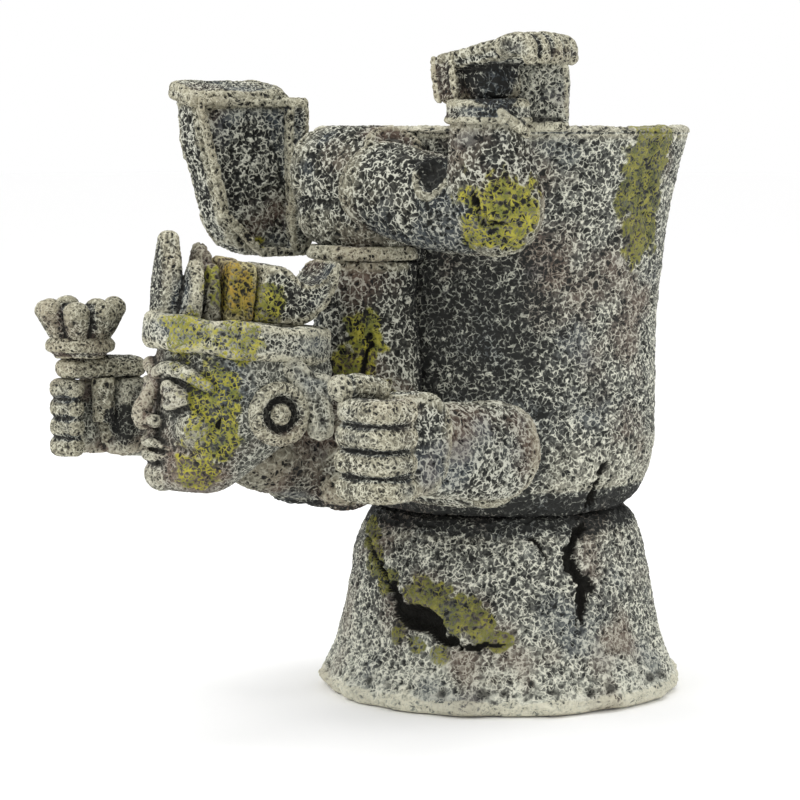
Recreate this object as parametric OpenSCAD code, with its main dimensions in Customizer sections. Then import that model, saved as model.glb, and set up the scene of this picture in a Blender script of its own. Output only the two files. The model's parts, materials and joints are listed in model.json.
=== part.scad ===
// Footed cup with a carved acrobat figure: a stone-finish cast ornament.
// The figure stands on its chest in front of the cup, looks forward, holds both
// fists out and folds its legs up over its back, soles to the sky.
// Origin: centre of the underside of the pedestal. +Z up, the figure faces -Y.

/* [Vessel] */
// Radius of the bead round the bottom of the pedestal
foot_r = 45; // [44:0.5:47]
// Height of the waist, where the cup stands on the pedestal
waist_z = 45.5; // [44:0.5:47]
// Radius of the waist
waist_r = 29; // [28:0.5:31]
// Radius of the cup's straight part
belly_r = 38; // [37.5:0.25:38.5]
// Radius of the cup's rim
rim_r = 46; // [45:0.5:48]
// Height of the rim
rim_z = 138; // [136:1:140]
// Thickness of the cup's wall
wall = 4.5; // [3.5:0.5:5.5]
// Thickness of the cup's floor above the waist
floor_t = 12; // [10:1:16]

/* [Figure] */
// Distance of the shoulders, hips and knees in front of the vessel's axis
body_y = 46; // [45:0.5:47]
// Distance of the head's middle in front of the vessel's axis
head_y = 86; // [84:1:88]
// Turn of the head towards the figure's right, in degrees
head_turn = 22; // [16:2:26]
// Tilt of the head backwards, in degrees
head_tilt = 7; // [4:1:9]
// Sideways distance of each leg from the middle
leg_x = 45; // [44:0.5:46]
// Turn of the right lower leg towards the front, in degrees
right_leg_turn = 15; // [10:1:18]
// Turn of the left foot from straight back to straight out, in degrees
left_foot_turn = 85; // [80:1:90]
// Sideways distance of each fist from the middle
fist_x = 47; // [46:0.5:48]
// Distance of the fists in front of the vessel's axis
fist_y = 89; // [88:1:91]

/* [Carving] */
// Roundness of the carved edges
edge_r = 1.6; // [1.2:0.2:2]
// Thickness of one finger
finger_t = 5.4; // [5:0.2:5.6]
// Width of the dark groove left between two fingers
finger_gap = 0.6; // [0.4:0.1:0.8]

/* [Hidden] */

stone = "#8d8e82";
dark_stone = "#5c5d57";
pale_stone = "#b4b39f";
moss_stone = "#9a9a3c";

bead_r = 3;                       // bead round the foot
bell_shoulder = 8.2;              // how far the bell swells past the waist
bell_flare = 10;                  // how far the bell spreads at the ground
bell_decay = 10;                  // height over which that spread dies away
bowl_z = 64;                      // top of the cup's rounded bottom
floor_z = waist_z + floor_t;      // inside floor of the cup
head_o = [0, -head_y, 72];
band_z = 14.6;                    // underside of the headband above the head's middle
band_h = 8;
band_a = 18.6;                    // half-width of the headband
band_b = 21.4;                    // half-length of the headband
left_fist = [fist_x + 4, -fist_y + 1, 71.6];
right_fist = [-fist_x + 1, -fist_y - 2.5, 70.6];
left_sole_z = 152;
right_sole_z = 144.2;
cuff_z = 138.5;                   // underside of the left ankle cuff
foot_l = 25;                        // length of the left sole
foot_w = 14;
foot_rise = 9;                      // slope of the left sole towards the toes, in degrees
right_foot_roll = 12;               // tilt of the right sole towards the middle, in degrees

// ---------- shared shapes ----------

// A cast piece with one continuous carved skin.
module cast() resize([0, 0, 0]) children();

// A block with softened edges, centred: the hull of three crossed boxes.
module block(size, r = edge_r) hull() {
    cube([size[0] - 2 * r, size[1] - 2 * r, size[2]], center = true);
    cube([size[0] - 2 * r, size[1], size[2] - 2 * r], center = true);
    cube([size[0], size[1] - 2 * r, size[2] - 2 * r], center = true);
}

// An egg with the three half-axes given.
module egg(half, n = 24) scale(half) sphere(1, $fn = n);

// Rounded limb through the stations [place, radius].
module limb(stations, n = 18)
    for (i = [0 : len(stations) - 2]) hull() {
        translate(stations[i][0]) sphere(stations[i][1], $fn = n);
        translate(stations[i + 1][0]) sphere(stations[i + 1][1], $fn = n);
    }

// Puts its children in the head's own frame: -Y is the way the face looks.
module in_head() translate(head_o) rotate([-head_tilt, 0, -head_turn]) children();

// ---------- vessel ----------

// Radius of the pedestal at height z: a rounded shoulder plus a flare that dies away.
function bell_r(z) = waist_r + bell_shoulder * sqrt(1 - pow(z / waist_z, 4))
    + bell_flare * exp(-z / bell_decay) * (1 - pow(z / waist_z, 4));

// Radius of the cup's outside at height z: a quarter ellipse, then a cubic flare.
function cup_r(z) = z < bowl_z
    ? waist_r + (belly_r - waist_r) * sqrt(1 - pow((bowl_z - z) / (bowl_z - waist_z), 2))
    : belly_r + (rim_r - belly_r) * pow((z - bowl_z) / (rim_z - bowl_z), 3);

module cup_form(shrink = 0, from_z = waist_z) {
    step = (rim_z - from_z) / 16;
    rotate_extrude($fn = 96) polygon(concat(
        [[0, from_z]],
        [for (i = [0 : 16]) [cup_r(from_z + i * step) - shrink, from_z + i * step]],
        [[0, rim_z]]));
}

module broken_crack() {
    // Jagged pocket broken into the shoulder of the bell, on the side of the left arm.
    rotate([0, 0, 22]) translate([0, -foot_r + 2, 0]) rotate([90, 0, 0])
        linear_extrude(height = 14, center = true)
            polygon([[-12, 36], [-7, 28], [3, 23], [14, 20], [8, 16], [-3, 17], [-12, 25]]);
}

module pedestal() color(stone) difference() {
    rotate_extrude($fn = 96) {
        polygon(concat([[0, 0], [foot_r - bead_r, 0]],
            [for (i = [1 : 15]) [bell_r(bead_r + i * (waist_z - bead_r) / 15),
                                 bead_r + i * (waist_z - bead_r) / 15]],
            [[0, waist_z]]));
        translate([foot_r - bead_r, bead_r]) circle(bead_r, $fn = 32);
    }
    broken_crack();
}

module cup() color(stone) difference() {
    cup_form();
    translate([0, 0, 0.01]) cup_form(shrink = wall, from_z = floor_z);
}

// ---------- trunk ----------

module chest_form() {
    hull() {
        translate([0, -body_y - 2, 61]) egg([22, 13, 11.4]);
        translate([0, -body_y - 14, 59]) egg([15, 11, 9]);
    }
    hull() {
        translate([0, -34, 62]) egg([24, 10, 12]);
        translate([0, -body_y - 2, 61]) egg([22, 13, 11.4]);
    }
}

module torso_form() hull() {
    translate([0, -body_y, 66]) cylinder(r = 13.6, h = 0.1, $fn = 28);
    translate([0, -body_y, 86]) egg([13.6, 11.6, 4], 28);
    translate([0, -body_y, 109]) cylinder(r = 12, h = 0.1, $fn = 28);
}

module hips_form() {
    hull() {
        translate([0, -body_y, 116.5]) egg([18, 12.6, 8.5]);
        translate([0, -body_y, 126.5]) egg([19, 13, 11.5]);
    }
}

module neck_form() limb([[[0, -body_y - 14, 60.5], 9.6], [[0, -head_y + 4, 64.5], 9.4]], 20);

module chest() color(stone) cast() difference() {
    chest_form();
    cup_form();
    translate([0, 0, -1]) cylinder(r = foot_r, h = waist_z + 1, $fn = 64);
}

module torso() color(stone) cast() difference() {
    torso_form();
    cup_form();
    chest_form();
    belt_form();
}

module belt_form() translate([0, -body_y, 107]) scale([1, 0.86, 1])
    cylinder(r = 14.6, h = 3.4, $fn = 36);

module belt() color(pale_stone) cast() difference() {
    belt_form();
    cup_form();
    hips_form();
}

module hips() color(stone) cast() difference() {
    hips_form();
    cup_form();
    // Broken scoop beside the left thigh
    translate([16, -body_y - 6, 137]) rotate([0, 35, 20]) egg([9, 7, 6], 18);
}

module neck() color(dark_stone) cast() difference() {
    neck_form();
    chest_form();
    in_head() skull_form();
}

// ---------- head ----------

module skull_form() {
    // Braincase, face and jaw
    hull() {
        translate([0, 1, 7]) egg([16.8, 18.6, 14], 28);
        translate([0, -3, 0]) egg([17, 17, 14], 28);
        translate([0, -8, -10]) egg([11, 10, 7], 24);
    }
}

module face_relief() {
    // Brow, nose, eyes, lips and chin, carved proud of the skull
    translate([0, -18.5, 9]) block([25, 5, 3.5], 1.6);
    hull() {
        translate([0, -19.5, 8]) sphere(2, $fn = 12);
        translate([0, -22.5, -1]) sphere(2.6, $fn = 12);
    }
    for (s = [-1, 1]) {
        translate([s * 2.8, -20.8, -1.5]) sphere(2, $fn = 12);
        translate([s * 7.5, -17.5, 4.6]) scale([1.7, 1, 1]) sphere(2.6, $fn = 14);
        translate([s * 9, -13.5, -4]) egg([5, 4.5, 5], 16);
    }
    translate([0, -19, -5.6]) scale([2.6, 1, 0.8]) sphere(2.3, $fn = 14);
    translate([0, -18.4, -8.6]) scale([2.3, 1, 0.8]) sphere(2.2, $fn = 14);
    translate([0, -15.5, -13]) egg([5.5, 4, 4], 16);
}

module head() color(stone) cast() difference() {
    in_head() {
        skull_form();
        face_relief();
    }
    in_head() headband_form();
}

// Flat oval band, open in the middle only where the head fills it.
module headband_form() translate([0, -2.8, band_z]) scale([1, band_b / band_a, 1])
    difference() {
        cylinder(r = band_a, h = band_h, $fn = 40);
        translate([0, 0, -1]) cylinder(r = band_a - 5, h = band_h + 2, $fn = 40);
    }

module headband() color(pale_stone) cast() in_head() headband_form();

// Pointed feather: a flat tapering blade with a rounded tip.
module feather(width, thick, height, lean) rotate([lean, 0, 0]) hull() {
    block([width, thick, 1], 0.45);
    translate([0, 0, height * 0.62]) block([width * 0.8, thick * 0.8, 1], 0.45);
    translate([0, 0, height - 2]) sphere(2, $fn = 12);
}

module crown_z() translate([0, 0, band_z + band_h]) children();

module front_feather() color(pale_stone) cast() in_head() crown_z() {
    translate([-1, -20.6, 0.5]) feather(10, 4.4, 18.6, 5);
    translate([5, -16.6, 0.5]) feather(9, 3.2, 11.5, 3);
}

module rear_feather() color(dark_stone) cast() in_head() crown_z()
    translate([-1.5, -12.2, 0.5]) feather(11, 4.6, 16.4, 1);

module feather_block() color(moss_stone) cast() in_head() crown_z()
    translate([1, -5.6, 6.5]) block([15, 6.4, 13], 1.2);

// Block behind the crown whose back corner turns up into a horn.
module horned_block() color(pale_stone) cast() in_head() crown_z() difference() {
    hull() {
        translate([0, 5.2, 6]) block([18, 14, 12], 1.2);
        translate([0, 13.8, 12.6]) rotate([-30, 0, 0]) block([15, 3, 7], 1.1);
    }
    translate([0, 7.4, 18.6]) rotate([0, 90, 0]) cylinder(r = 8, h = 60, center = true, $fn = 28);
}

module spool_place(side) in_head() translate([side * 17.4, 2.4, 3.4]) rotate([0, side * 90, 0]) children();

module ear_spool_form() {
    rotate_extrude($fn = 32) translate([5.2, 1.2]) circle(1.9, $fn = 16);
    translate([0, 0, -0.8]) cylinder(r = 5.2, h = 1.2, $fn = 32);
    translate([0, 0, 0.2]) sphere(2.3, $fn = 16);
}

module left_ear_spool() color(pale_stone) cast() difference() {
    spool_place(1) ear_spool_form();
    in_head() skull_form();
}

module right_ear_spool() color(pale_stone) cast() difference() {
    spool_place(-1) ear_spool_form();
    in_head() skull_form();
}

// Strap that hangs from the headband behind the ear spool.
module ear_strap(side) cast() difference() {
    in_head() hull() {
        translate([side * 16.6, 9, 12.6]) block([4, 8, 3], 1);
        translate([side * 17.6, 12.6, 0]) block([4.4, 7, 3], 1);
    }
    in_head() skull_form();
}

module left_ear_strap() color(pale_stone) ear_strap(1);
module right_ear_strap() color(pale_stone) ear_strap(-1);

// ---------- arms ----------

module left_upper_arm_form() limb([[[17, -49, 61], 9.5], [[42, -50, 62], 9.5]], 18);
module right_upper_arm_form() limb([[[-17, -49, 61], 9.5], [[-45, -47, 64], 9]], 18);

module left_forearm_form() hull() {
    translate([49.5, -52.5, 66.5]) egg([8.5, 7.5, 10.5], 20);
    translate([50, -64, 67.5]) egg([8, 8, 10.5], 20);
    translate([50.5, -76, 69]) egg([7.5, 6, 9.5], 20);
}

module right_forearm_form() hull() {
    translate([-48, -49, 66]) egg([8.5, 8, 10], 20);
    translate([-45.5, -80, 69]) egg([7, 6, 9], 20);
}

module left_upper_arm() color(stone) cast() difference() {
    left_upper_arm_form();
    chest_form();
    cup_form();
    torso_form();
    left_forearm_form();
}

module right_upper_arm() color(stone) cast() difference() {
    right_upper_arm_form();
    chest_form();
    cup_form();
    torso_form();
    right_forearm_form();
}

module left_forearm() color(stone) cast() difference() {
    left_forearm_form();
    left_palm_form();
    cup_form();
}

module right_forearm() color(stone) cast() difference() {
    right_forearm_form();
    right_palm_form();
}

// ---------- hands ----------

// Back of the hand: an upright rounded slab.
module left_palm_form() translate(left_fist + [-0.6, 4, -0.8]) block([13.5, 12, 21.6], 2.4);
module right_palm_form() translate(right_fist) {
    translate([1.6, 9, -0.5]) block([10, 8, 18], 2);
    translate([-2.4, 1.5, -0.5]) block([3.2, 11, 18], 0.6);
}

// Four curled fingers, stacked. Each is a rounded bar bent round the fist.
module finger_stack(count, reach, depth, thick)
    for (i = [0 : count - 1]) translate([0, 0, (i - (count - 1) / 2) * (thick + finger_gap)])
        block([reach, depth, thick], thick * 0.42);

module left_fingers() color(pale_stone) cast()
    translate(left_fist + [0.6, -7, -1.2]) finger_stack(4, 16.5, 10, finger_t - 0.4);

module right_fingers() color(pale_stone) cast() translate(right_fist + [0, -7, -0.4])
    finger_stack(4, 8.6, 6, finger_t - 1.3);

module left_palm() color(stone) cast() left_palm_form();

module right_palm() color(stone) cast() right_palm_form();

module left_thumb() color(pale_stone) cast()
    translate(left_fist + [-4.4, -6.4, 11.6]) rotate([4, 0, 8]) block([7, 9, 5.2], 1.8);

module right_thumb() color(pale_stone) cast()
    translate(right_fist + [1, 1, 11.2]) block([10, 19.6, 5], 1.8);

// ---------- sceptre in the right fist ----------

module sceptre_peg() color(pale_stone) translate(right_fist + [3.2, 0.8, -1.9])
    cylinder(r = 2.6, h = 10.6, $fn = 24);

module sceptre_collar() color(pale_stone) translate(right_fist + [0, -3.4, 13.7])
    cylinder(r = 8, h = 4.6, $fn = 36);

// Flared bundle of rounded lobes round a core.
module sceptre_plume() color(pale_stone) cast() translate(right_fist + [0, -3.4, 18.3]) {
    cylinder(r1 = 6.4, r2 = 8, h = 6, $fn = 24);
    for (a = [0 : 60 : 300]) rotate([0, 0, a + 15]) hull() {
        translate([5.8, 0, 1.9]) sphere(1.9, $fn = 12);
        translate([8.6, 0, 6.4]) scale([1, 1.1, 0.75]) sphere(3.2, $fn = 14);
    }
}

// ---------- legs ----------

module left_thigh_form() limb([[[14, -52, 124], 11], [[leg_x - 3, -48.5, 119.5], 10.6]], 20);
module right_thigh_form() limb([[[-14, -40, 122], 10.4], [[-24, -32, 119.5], 9], [[-34, -27, 117.5], 8.5]], 20);

module left_shin_form() hull() {
    translate([leg_x - 0.5, -49, 120]) egg([10.5, 10.5, 11], 22);
    translate([leg_x - 0.5, -51, 131]) egg([9, 9.5, 6], 22);
    translate([leg_x, -52.6, cuff_z - 0.1]) cylinder(r = 8, h = 0.1, $fn = 22);
}

// Turns the right lower leg and its foot about the leg's own upright axis.
module right_leg() translate([-leg_x, -44, 0]) rotate([0, 0, -right_leg_turn]) translate([leg_x, 44, 0])
    children();

// Slab-like lower leg: flat on its inner side, rounded knee below.
module right_shin_form() right_leg() hull() {
    translate([-leg_x, -45, 142.8]) block([12.5, 29, 3], 1.2);
    translate([-leg_x, -44.6, 125]) block([13, 28.4, 3], 1.4);
    translate([-leg_x + 0.5, -44.5, 115]) rotate([0, 90, 0]) cylinder(r = 9, h = 13, center = true, $fn = 28);
    translate([-leg_x + 0.5, -34.6, 110.6]) rotate([0, 90, 0]) cylinder(r = 4.2, h = 13, center = true, $fn = 22);
}

module left_thigh() color(stone) cast() difference() {
    left_thigh_form();
    hips_form();
    cup_form();
    left_shin_form();
}

module right_thigh() color(stone) cast() difference() {
    right_thigh_form();
    hips_form();
    cup_form();
    right_shin_form();
    right_panel_form();
}

module left_shin() color(stone) cast() difference() {
    left_shin_form();
    cup_form();
}

module right_shin() color(stone) cast() difference() {
    right_shin_form();
    right_sandal_form();
    cup_form();
}

// Flat face on the inner side of the right leg with a raised border.
module panel_outline() polygon([[-59, 142.6], [-31, 142.6], [-31, 107.4], [-43, 107.4], [-53, 116]]);

module right_panel_form() right_leg() translate([-leg_x + 5.6, 0, 0]) rotate([90, 0, 90])
    linear_extrude(height = 3.6) difference() {
        panel_outline();
        translate([-46, 125]) scale([0.76, 0.8]) translate([46, -125]) panel_outline();
    }

module right_leg_panel() color(pale_stone) cast() difference() {
    right_panel_form();
    right_shin_form();
    cup_form();
}

module left_cuff_form() translate([leg_x, -52.6, cuff_z]) cylinder(r1 = 9, r2 = 9.4, h = 5.5, $fn = 30);

module left_ankle_cuff() color(pale_stone) cast() difference() {
    left_cuff_form();
    cup_form();
    left_sandal_form();
}

// Puts a foot, drawn level with its toes along +Y, on the left or the right leg.
module left_foot() translate([leg_x + 1.6, -body_y - 5, left_sole_z]) rotate([0, 0, -left_foot_turn])
    rotate([foot_rise, 0, 0]) children();
module right_foot() right_leg() translate([-leg_x, -body_y - 3.7, right_sole_z])
    rotate([0, right_foot_roll, 0]) children();

// Sole slab of the given length, heel always at the same place.
module sole(len) translate([0, (len - foot_l) / 2 - 1.5, 1.4]) block([foot_w, len - 3, 4.2], 1.5);

// Five short toes at the end of a sole.
module toes(len, size) for (i = [0 : 4])
    translate([(i - 2) * size * 1.58, len - foot_l / 2 - 4 + 0.8 * (2 - abs(i - 2)), 1.2]) hull() {
        sphere(size, $fn = 12);
        translate([0, 5, -0.8]) scale([0.9, 1, 1.2]) sphere(size, $fn = 12);
    }

module left_sandal_form() left_foot() {
    sole(foot_l);
    translate([0, -1.6, -4.2]) block([foot_w - 3, 14, 9], 1.5);
}

module right_sandal_form() right_foot() sole(foot_l + 2);
module left_toes_form() left_foot() toes(foot_l, 2.1);
module right_toes_form() right_foot() toes(foot_l, 1.7);

// Strap that caps the left heel, from the sole down to the cuff.
module left_strap_form() left_foot() translate([0, -9.8, -1.7]) block([foot_w + 1.2, 6.6, 11.4], 1.4);

module left_sandal() color(stone) cast() difference() {
    left_sandal_form();
    left_toes_form();
    left_strap_form();
}

module right_sandal() color(pale_stone) cast() difference() {
    right_sandal_form();
    right_toes_form();
}

module left_toes() color(pale_stone) cast() left_toes_form();
module right_toes() color(pale_stone) cast() right_toes_form();

module left_heel_strap() color(pale_stone) cast() difference() {
    left_strap_form();
    left_cuff_form();
}

// Square stone flap that hangs beside the ankle, under the toes.
module left_flap_form() translate([leg_x + 4.5, -body_y + 4.5, left_sole_z - 7.1])
    rotate([0, 0, 40]) block([14, 7, 16], 1.2);

module left_sandal_flap() color(pale_stone) cast() difference() {
    left_flap_form();
    left_sandal_form();
    left_toes_form();
    left_shin_form();
    left_cuff_form();
    cup_form();
}

module right_sandal_flap() color(stone) cast() difference() {
    right_leg() translate([-leg_x - 7.6, -body_y - 4, 134]) rotate([8, 0, 0]) block([5, 12, 13], 1.2);
    right_sandal_form();
    right_shin_form();
}

pedestal();
cup();
chest();
torso();
belt();
hips();
neck();
head();
headband();
front_feather();
rear_feather();
feather_block();
horned_block();
left_ear_spool();
right_ear_spool();
left_ear_strap();
right_ear_strap();
left_upper_arm();
right_upper_arm();
left_forearm();
right_forearm();
left_palm();
right_palm();
left_fingers();
right_fingers();
left_thumb();
right_thumb();
sceptre_peg();
sceptre_collar();
sceptre_plume();
left_thigh();
right_thigh();
left_shin();
right_shin();
right_leg_panel();
left_ankle_cuff();
left_sandal();
right_sandal();
left_toes();
right_toes();
left_heel_strap();
left_sandal_flap();
right_sandal_flap();
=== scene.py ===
# %% [markdown]
# # A footed cup with a carved acrobat figure
# The real object is a cast of resin and stone powder, pressed in a mould that was taken from a hand-carved
# model, then painted: a dark wash that stays in the pits, a pale dry brush that catches the ridges, and moss
# colours dabbed on. Each carved element is made here as its own closed skin, in the place that the frame gives.

# %% Load the frame
import json
import math

import bpy
import numpy as np
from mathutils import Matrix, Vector


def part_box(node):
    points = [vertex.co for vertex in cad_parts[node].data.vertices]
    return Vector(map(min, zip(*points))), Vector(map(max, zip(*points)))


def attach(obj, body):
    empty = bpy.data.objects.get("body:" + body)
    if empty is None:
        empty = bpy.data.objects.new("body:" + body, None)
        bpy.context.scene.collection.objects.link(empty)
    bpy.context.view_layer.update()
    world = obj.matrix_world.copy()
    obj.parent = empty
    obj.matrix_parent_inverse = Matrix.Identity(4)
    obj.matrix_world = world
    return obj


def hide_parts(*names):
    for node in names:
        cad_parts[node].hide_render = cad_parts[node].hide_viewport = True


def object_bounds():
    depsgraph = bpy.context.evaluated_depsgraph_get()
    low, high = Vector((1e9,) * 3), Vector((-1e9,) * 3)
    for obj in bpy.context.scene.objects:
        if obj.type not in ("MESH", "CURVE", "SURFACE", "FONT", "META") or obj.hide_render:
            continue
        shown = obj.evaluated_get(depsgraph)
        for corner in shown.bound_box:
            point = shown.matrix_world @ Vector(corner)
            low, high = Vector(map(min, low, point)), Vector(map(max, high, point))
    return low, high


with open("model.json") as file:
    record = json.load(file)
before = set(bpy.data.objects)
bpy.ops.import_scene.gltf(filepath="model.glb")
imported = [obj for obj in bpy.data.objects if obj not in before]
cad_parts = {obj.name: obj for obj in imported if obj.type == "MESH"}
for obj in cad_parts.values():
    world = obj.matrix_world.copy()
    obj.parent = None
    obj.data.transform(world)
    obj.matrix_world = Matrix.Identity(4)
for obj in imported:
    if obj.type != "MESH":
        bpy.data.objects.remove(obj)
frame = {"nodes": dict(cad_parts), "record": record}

cad_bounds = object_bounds()
MM = 0.001
scene = bpy.context.scene
print("frame loaded:", len(frame["nodes"]), "nodes")


def corners(node):
    """The lowest and highest corner of a node's box, in millimetres."""
    low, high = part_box(node)
    return np.array(low) / MM, np.array(high) / MM


def middle(node):
    """The middle of a node's box, in millimetres."""
    low, high = corners(node)
    return (low + high) / 2


def extent(node):
    """The size of a node's box along X, Y and Z, in millimetres."""
    low, high = corners(node)
    return high - low


# %% [markdown]
# ## Camera
# The camera stands far back with a long lens, so that the rim looks flat and nothing bulges. It is level with
# the cup's rim and turned 45 degrees towards the figure's left side.

# %% Camera
CAMERA_TURN = math.radians(45)
CAMERA_DISTANCE = 0.675
AIM_LEFT = 0.0247
AIM_HEIGHT = 0.0706
FOCAL_MM = 123.5
SENSOR_MM = 36
NEAR_CLIP = 0.01

rim_height = corners("cup")[1][2] * MM
to_right = Vector((math.cos(CAMERA_TURN), math.sin(CAMERA_TURN), 0))
to_camera = Vector((math.sin(CAMERA_TURN), -math.cos(CAMERA_TURN), 0))
aim = Vector((0, 0, AIM_HEIGHT)) - to_right * AIM_LEFT
camera = bpy.data.objects.new("camera", bpy.data.cameras.new("camera"))
scene.collection.objects.link(camera)
scene.camera = camera
camera.location = aim + to_camera * CAMERA_DISTANCE
camera.location.z = rim_height
camera.rotation_euler = (aim - camera.location).to_track_quat("-Z", "Y").to_euler()
camera.data.lens = FOCAL_MM
camera.data.sensor_width = SENSOR_MM
camera.data.clip_start = NEAR_CLIP
print("camera at", tuple(round(c, 3) for c in camera.location))

# %% [markdown]
# ## Floor and light
# A white sheet lies under the object and three soft boxes hang round it. Large lamps close by give soft shadows
# in the pits, which is what shows the carving.

# %% Floor and light
FLOOR_SIDE, FLOOR_GAP = 12.0, 0.0002
LIGHT_AIM = Vector((0, -0.02, 0.08))
bpy.ops.mesh.primitive_plane_add(size=FLOOR_SIDE, location=(0, 0, cad_bounds[0][2] - FLOOR_GAP))
floor = bpy.context.object
floor.name = "floor"
floor_paint = bpy.data.materials.new("white_paper_sheet")
floor_paint.use_nodes = True
floor_shader = floor_paint.node_tree.nodes["Principled BSDF"]
floor_shader.inputs["Base Color"].default_value = (0.995, 0.995, 0.995, 1)
floor_shader.inputs["Roughness"].default_value = 0.9
floor.data.materials.append(floor_paint)

world = bpy.data.worlds.new("studio")
scene.world = world
world.use_nodes = True
world.node_tree.nodes["Background"].inputs["Color"].default_value = (1, 1, 1, 1)
world.node_tree.nodes["Background"].inputs["Strength"].default_value = 1.0


def soft_box(name, place, side, power):
    """A square lamp at a place, aimed at the middle of the object."""
    lamp = bpy.data.objects.new(name, bpy.data.lights.new(name, "AREA"))
    lamp.data.size = side
    lamp.data.energy = power
    scene.collection.objects.link(lamp)
    lamp.location = place
    lamp.rotation_euler = (LIGHT_AIM - lamp.location).to_track_quat("-Z", "Y").to_euler()


soft_box("key_light", (-0.15, -0.75, 0.75), 0.35, 3.2)
soft_box("fill_light", (0.85, -0.25, 0.45), 0.5, 0.8)
soft_box("top_light", (0.05, 0.1, 0.95), 0.5, 2.0)
scene.view_settings.view_transform = "Standard"
print("floor and", len(bpy.data.lights), "lamps")

# %% [markdown]
# ## Grain of the stone
# The mould was taken from rough stone, so the whole surface is a net of ridges round pits one to three
# millimetres wide. Two kinds of noise give that: a smooth one that bends and mottles, and a cell noise, in
# which every point belongs to its nearest random seed and the borders between cells become the ridges.

# %% Noise
def scatter(cell, salt):
    """A repeatable random number from 0 to 1 for each whole-number cell: the indices are mixed by primes."""
    mixed = cell[..., 0] * 73856093 + cell[..., 1] * 19349663 + cell[..., 2] * 83492791 + salt * 2654435
    mixed = (mixed ^ (mixed >> 13)) & 0x7FFFFFFF
    mixed = (mixed * (mixed * 15731 + 789221 & 0x7FFFFFFF) + 1376312589) & 0x7FFFFFFF
    return ((mixed >> 7) & 0xFFFF) / 65535.0


def smooth_noise(points, size, salt=0):
    """Random values at the corners of a lattice of the given size, blended with a smooth step between them."""
    scaled = points / size
    base = np.floor(scaled).astype(np.int64)
    part = scaled - base
    part = part * part * (3 - 2 * part)
    total = np.zeros(len(points))
    for corner in np.ndindex(2, 2, 2):
        weight = np.prod(np.where(np.array(corner) == 1, part, 1 - part), axis=1)
        total += weight * scatter(base + np.array(corner), salt)
    return total


def cell_noise(points, size, salt=0):
    """Distance to the nearest and to the second nearest seed, in cells, and a random number of the nearest."""
    scaled = points / size
    base = np.floor(scaled).astype(np.int64)
    first = np.full(len(points), 9.0)
    second = np.full(len(points), 9.0)
    owner = np.zeros(len(points))
    for step in np.ndindex(3, 3, 3):
        cell = base + np.array(step) - 1
        seed = cell + np.stack([scatter(cell, salt + k) for k in (1, 2, 3)], axis=1)
        far = np.sqrt(((seed - scaled) ** 2).sum(axis=1))
        nearer = far < first
        second = np.where(nearer, first, np.minimum(second, far))
        owner = np.where(nearer, scatter(cell, salt + 4), owner)
        first = np.where(nearer, far, first)
    return first, second, owner


def ramp(value, low, high):
    """A smooth step from 0 at low to 1 at high."""
    part = np.clip((value - low) / (high - low), 0, 1)
    return part * part * (3 - 2 * part)


# %% [markdown]
# ## Surfaces
# Every carved form is a stack of closed rings. A ring's points come from a formula of the angle, and the rings'
# sizes and places from a formula of the height or of the way along a path. A fan closes each end.

# %% Ring surfaces
def rings_to_surface(rings):
    """Joins a stack of closed rings (stations, around, 3) by quads, and closes each end on its middle point."""
    stations, around, _ = rings.shape
    index = np.arange(stations * around).reshape(stations, around)
    beside = np.roll(index, -1, axis=1)
    quads = np.stack([index[:-1], beside[:-1], beside[1:], index[1:]], axis=-1).reshape(-1, 4)
    places = rings.reshape(-1, 3)
    ends = np.array([rings[0].mean(axis=0), rings[-1].mean(axis=0)])
    start, stop = len(places), len(places) + 1
    first = np.stack([beside[0], index[0], np.full(around, start)], axis=-1)
    last = np.stack([index[-1], beside[-1], np.full(around, stop)], axis=-1)
    return np.vstack([places, ends]), [quads, first, last]


def power(value, exponent):
    """A signed power, which squares off a circle when the exponent is under 1."""
    return np.sign(value) * np.abs(value) ** exponent


def turn(x=0.0, y=0.0, z=0.0):
    """The matrix that turns by x, then y, then z degrees about the fixed axes."""
    ax, ay, az = (math.radians(a) for a in (x, y, z))
    about_x = np.array([[1, 0, 0], [0, math.cos(ax), -math.sin(ax)], [0, math.sin(ax), math.cos(ax)]])
    about_y = np.array([[math.cos(ay), 0, math.sin(ay)], [0, 1, 0], [-math.sin(ay), 0, math.cos(ay)]])
    about_z = np.array([[math.cos(az), -math.sin(az), 0], [math.sin(az), math.cos(az), 0], [0, 0, 1]])
    return about_z @ about_y @ about_x


def pebble(centre, half, square=1.0, spin=None, around=40, stations=26):
    """A superellipsoid: latitude and longitude on a sphere, each raised to a power, times three half-axes.
    A power of 1 gives an egg and one near 0.3 a block with soft edges."""
    lat = np.linspace(-math.pi / 2, math.pi / 2, stations + 2)[1:-1, None]
    lon = np.linspace(0, 2 * math.pi, around, endpoint=False)[None, :]
    ring = power(np.cos(lat), square)
    points = np.stack([
        ring * power(np.cos(lon), square) * half[0],
        ring * power(np.sin(lon), square) * half[1],
        power(np.sin(lat), square) * np.ones_like(lon) * half[2]], axis=-1)
    if spin is not None:
        points = points @ spin.T
    return rings_to_surface(points + np.array(centre))


def smooth_path(stations, count):
    """A Catmull-Rom curve through the stations: each row may hold a place and sizes."""
    rows = np.array(stations, dtype=float)
    padded = np.vstack([2 * rows[0] - rows[1], rows, 2 * rows[-1] - rows[-2]])
    way = np.linspace(0, len(rows) - 1, count)
    k = np.minimum(way.astype(int), len(rows) - 2)
    t = (way - k)[:, None]
    p0, p1, p2, p3 = padded[k], padded[k + 1], padded[k + 2], padded[k + 3]
    return 0.5 * (2 * p1 + (p2 - p0) * t + (2 * p0 - 5 * p1 + 4 * p2 - p3) * t ** 2
                  + (3 * p1 - p0 - 3 * p2 + p3) * t ** 3)


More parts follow.
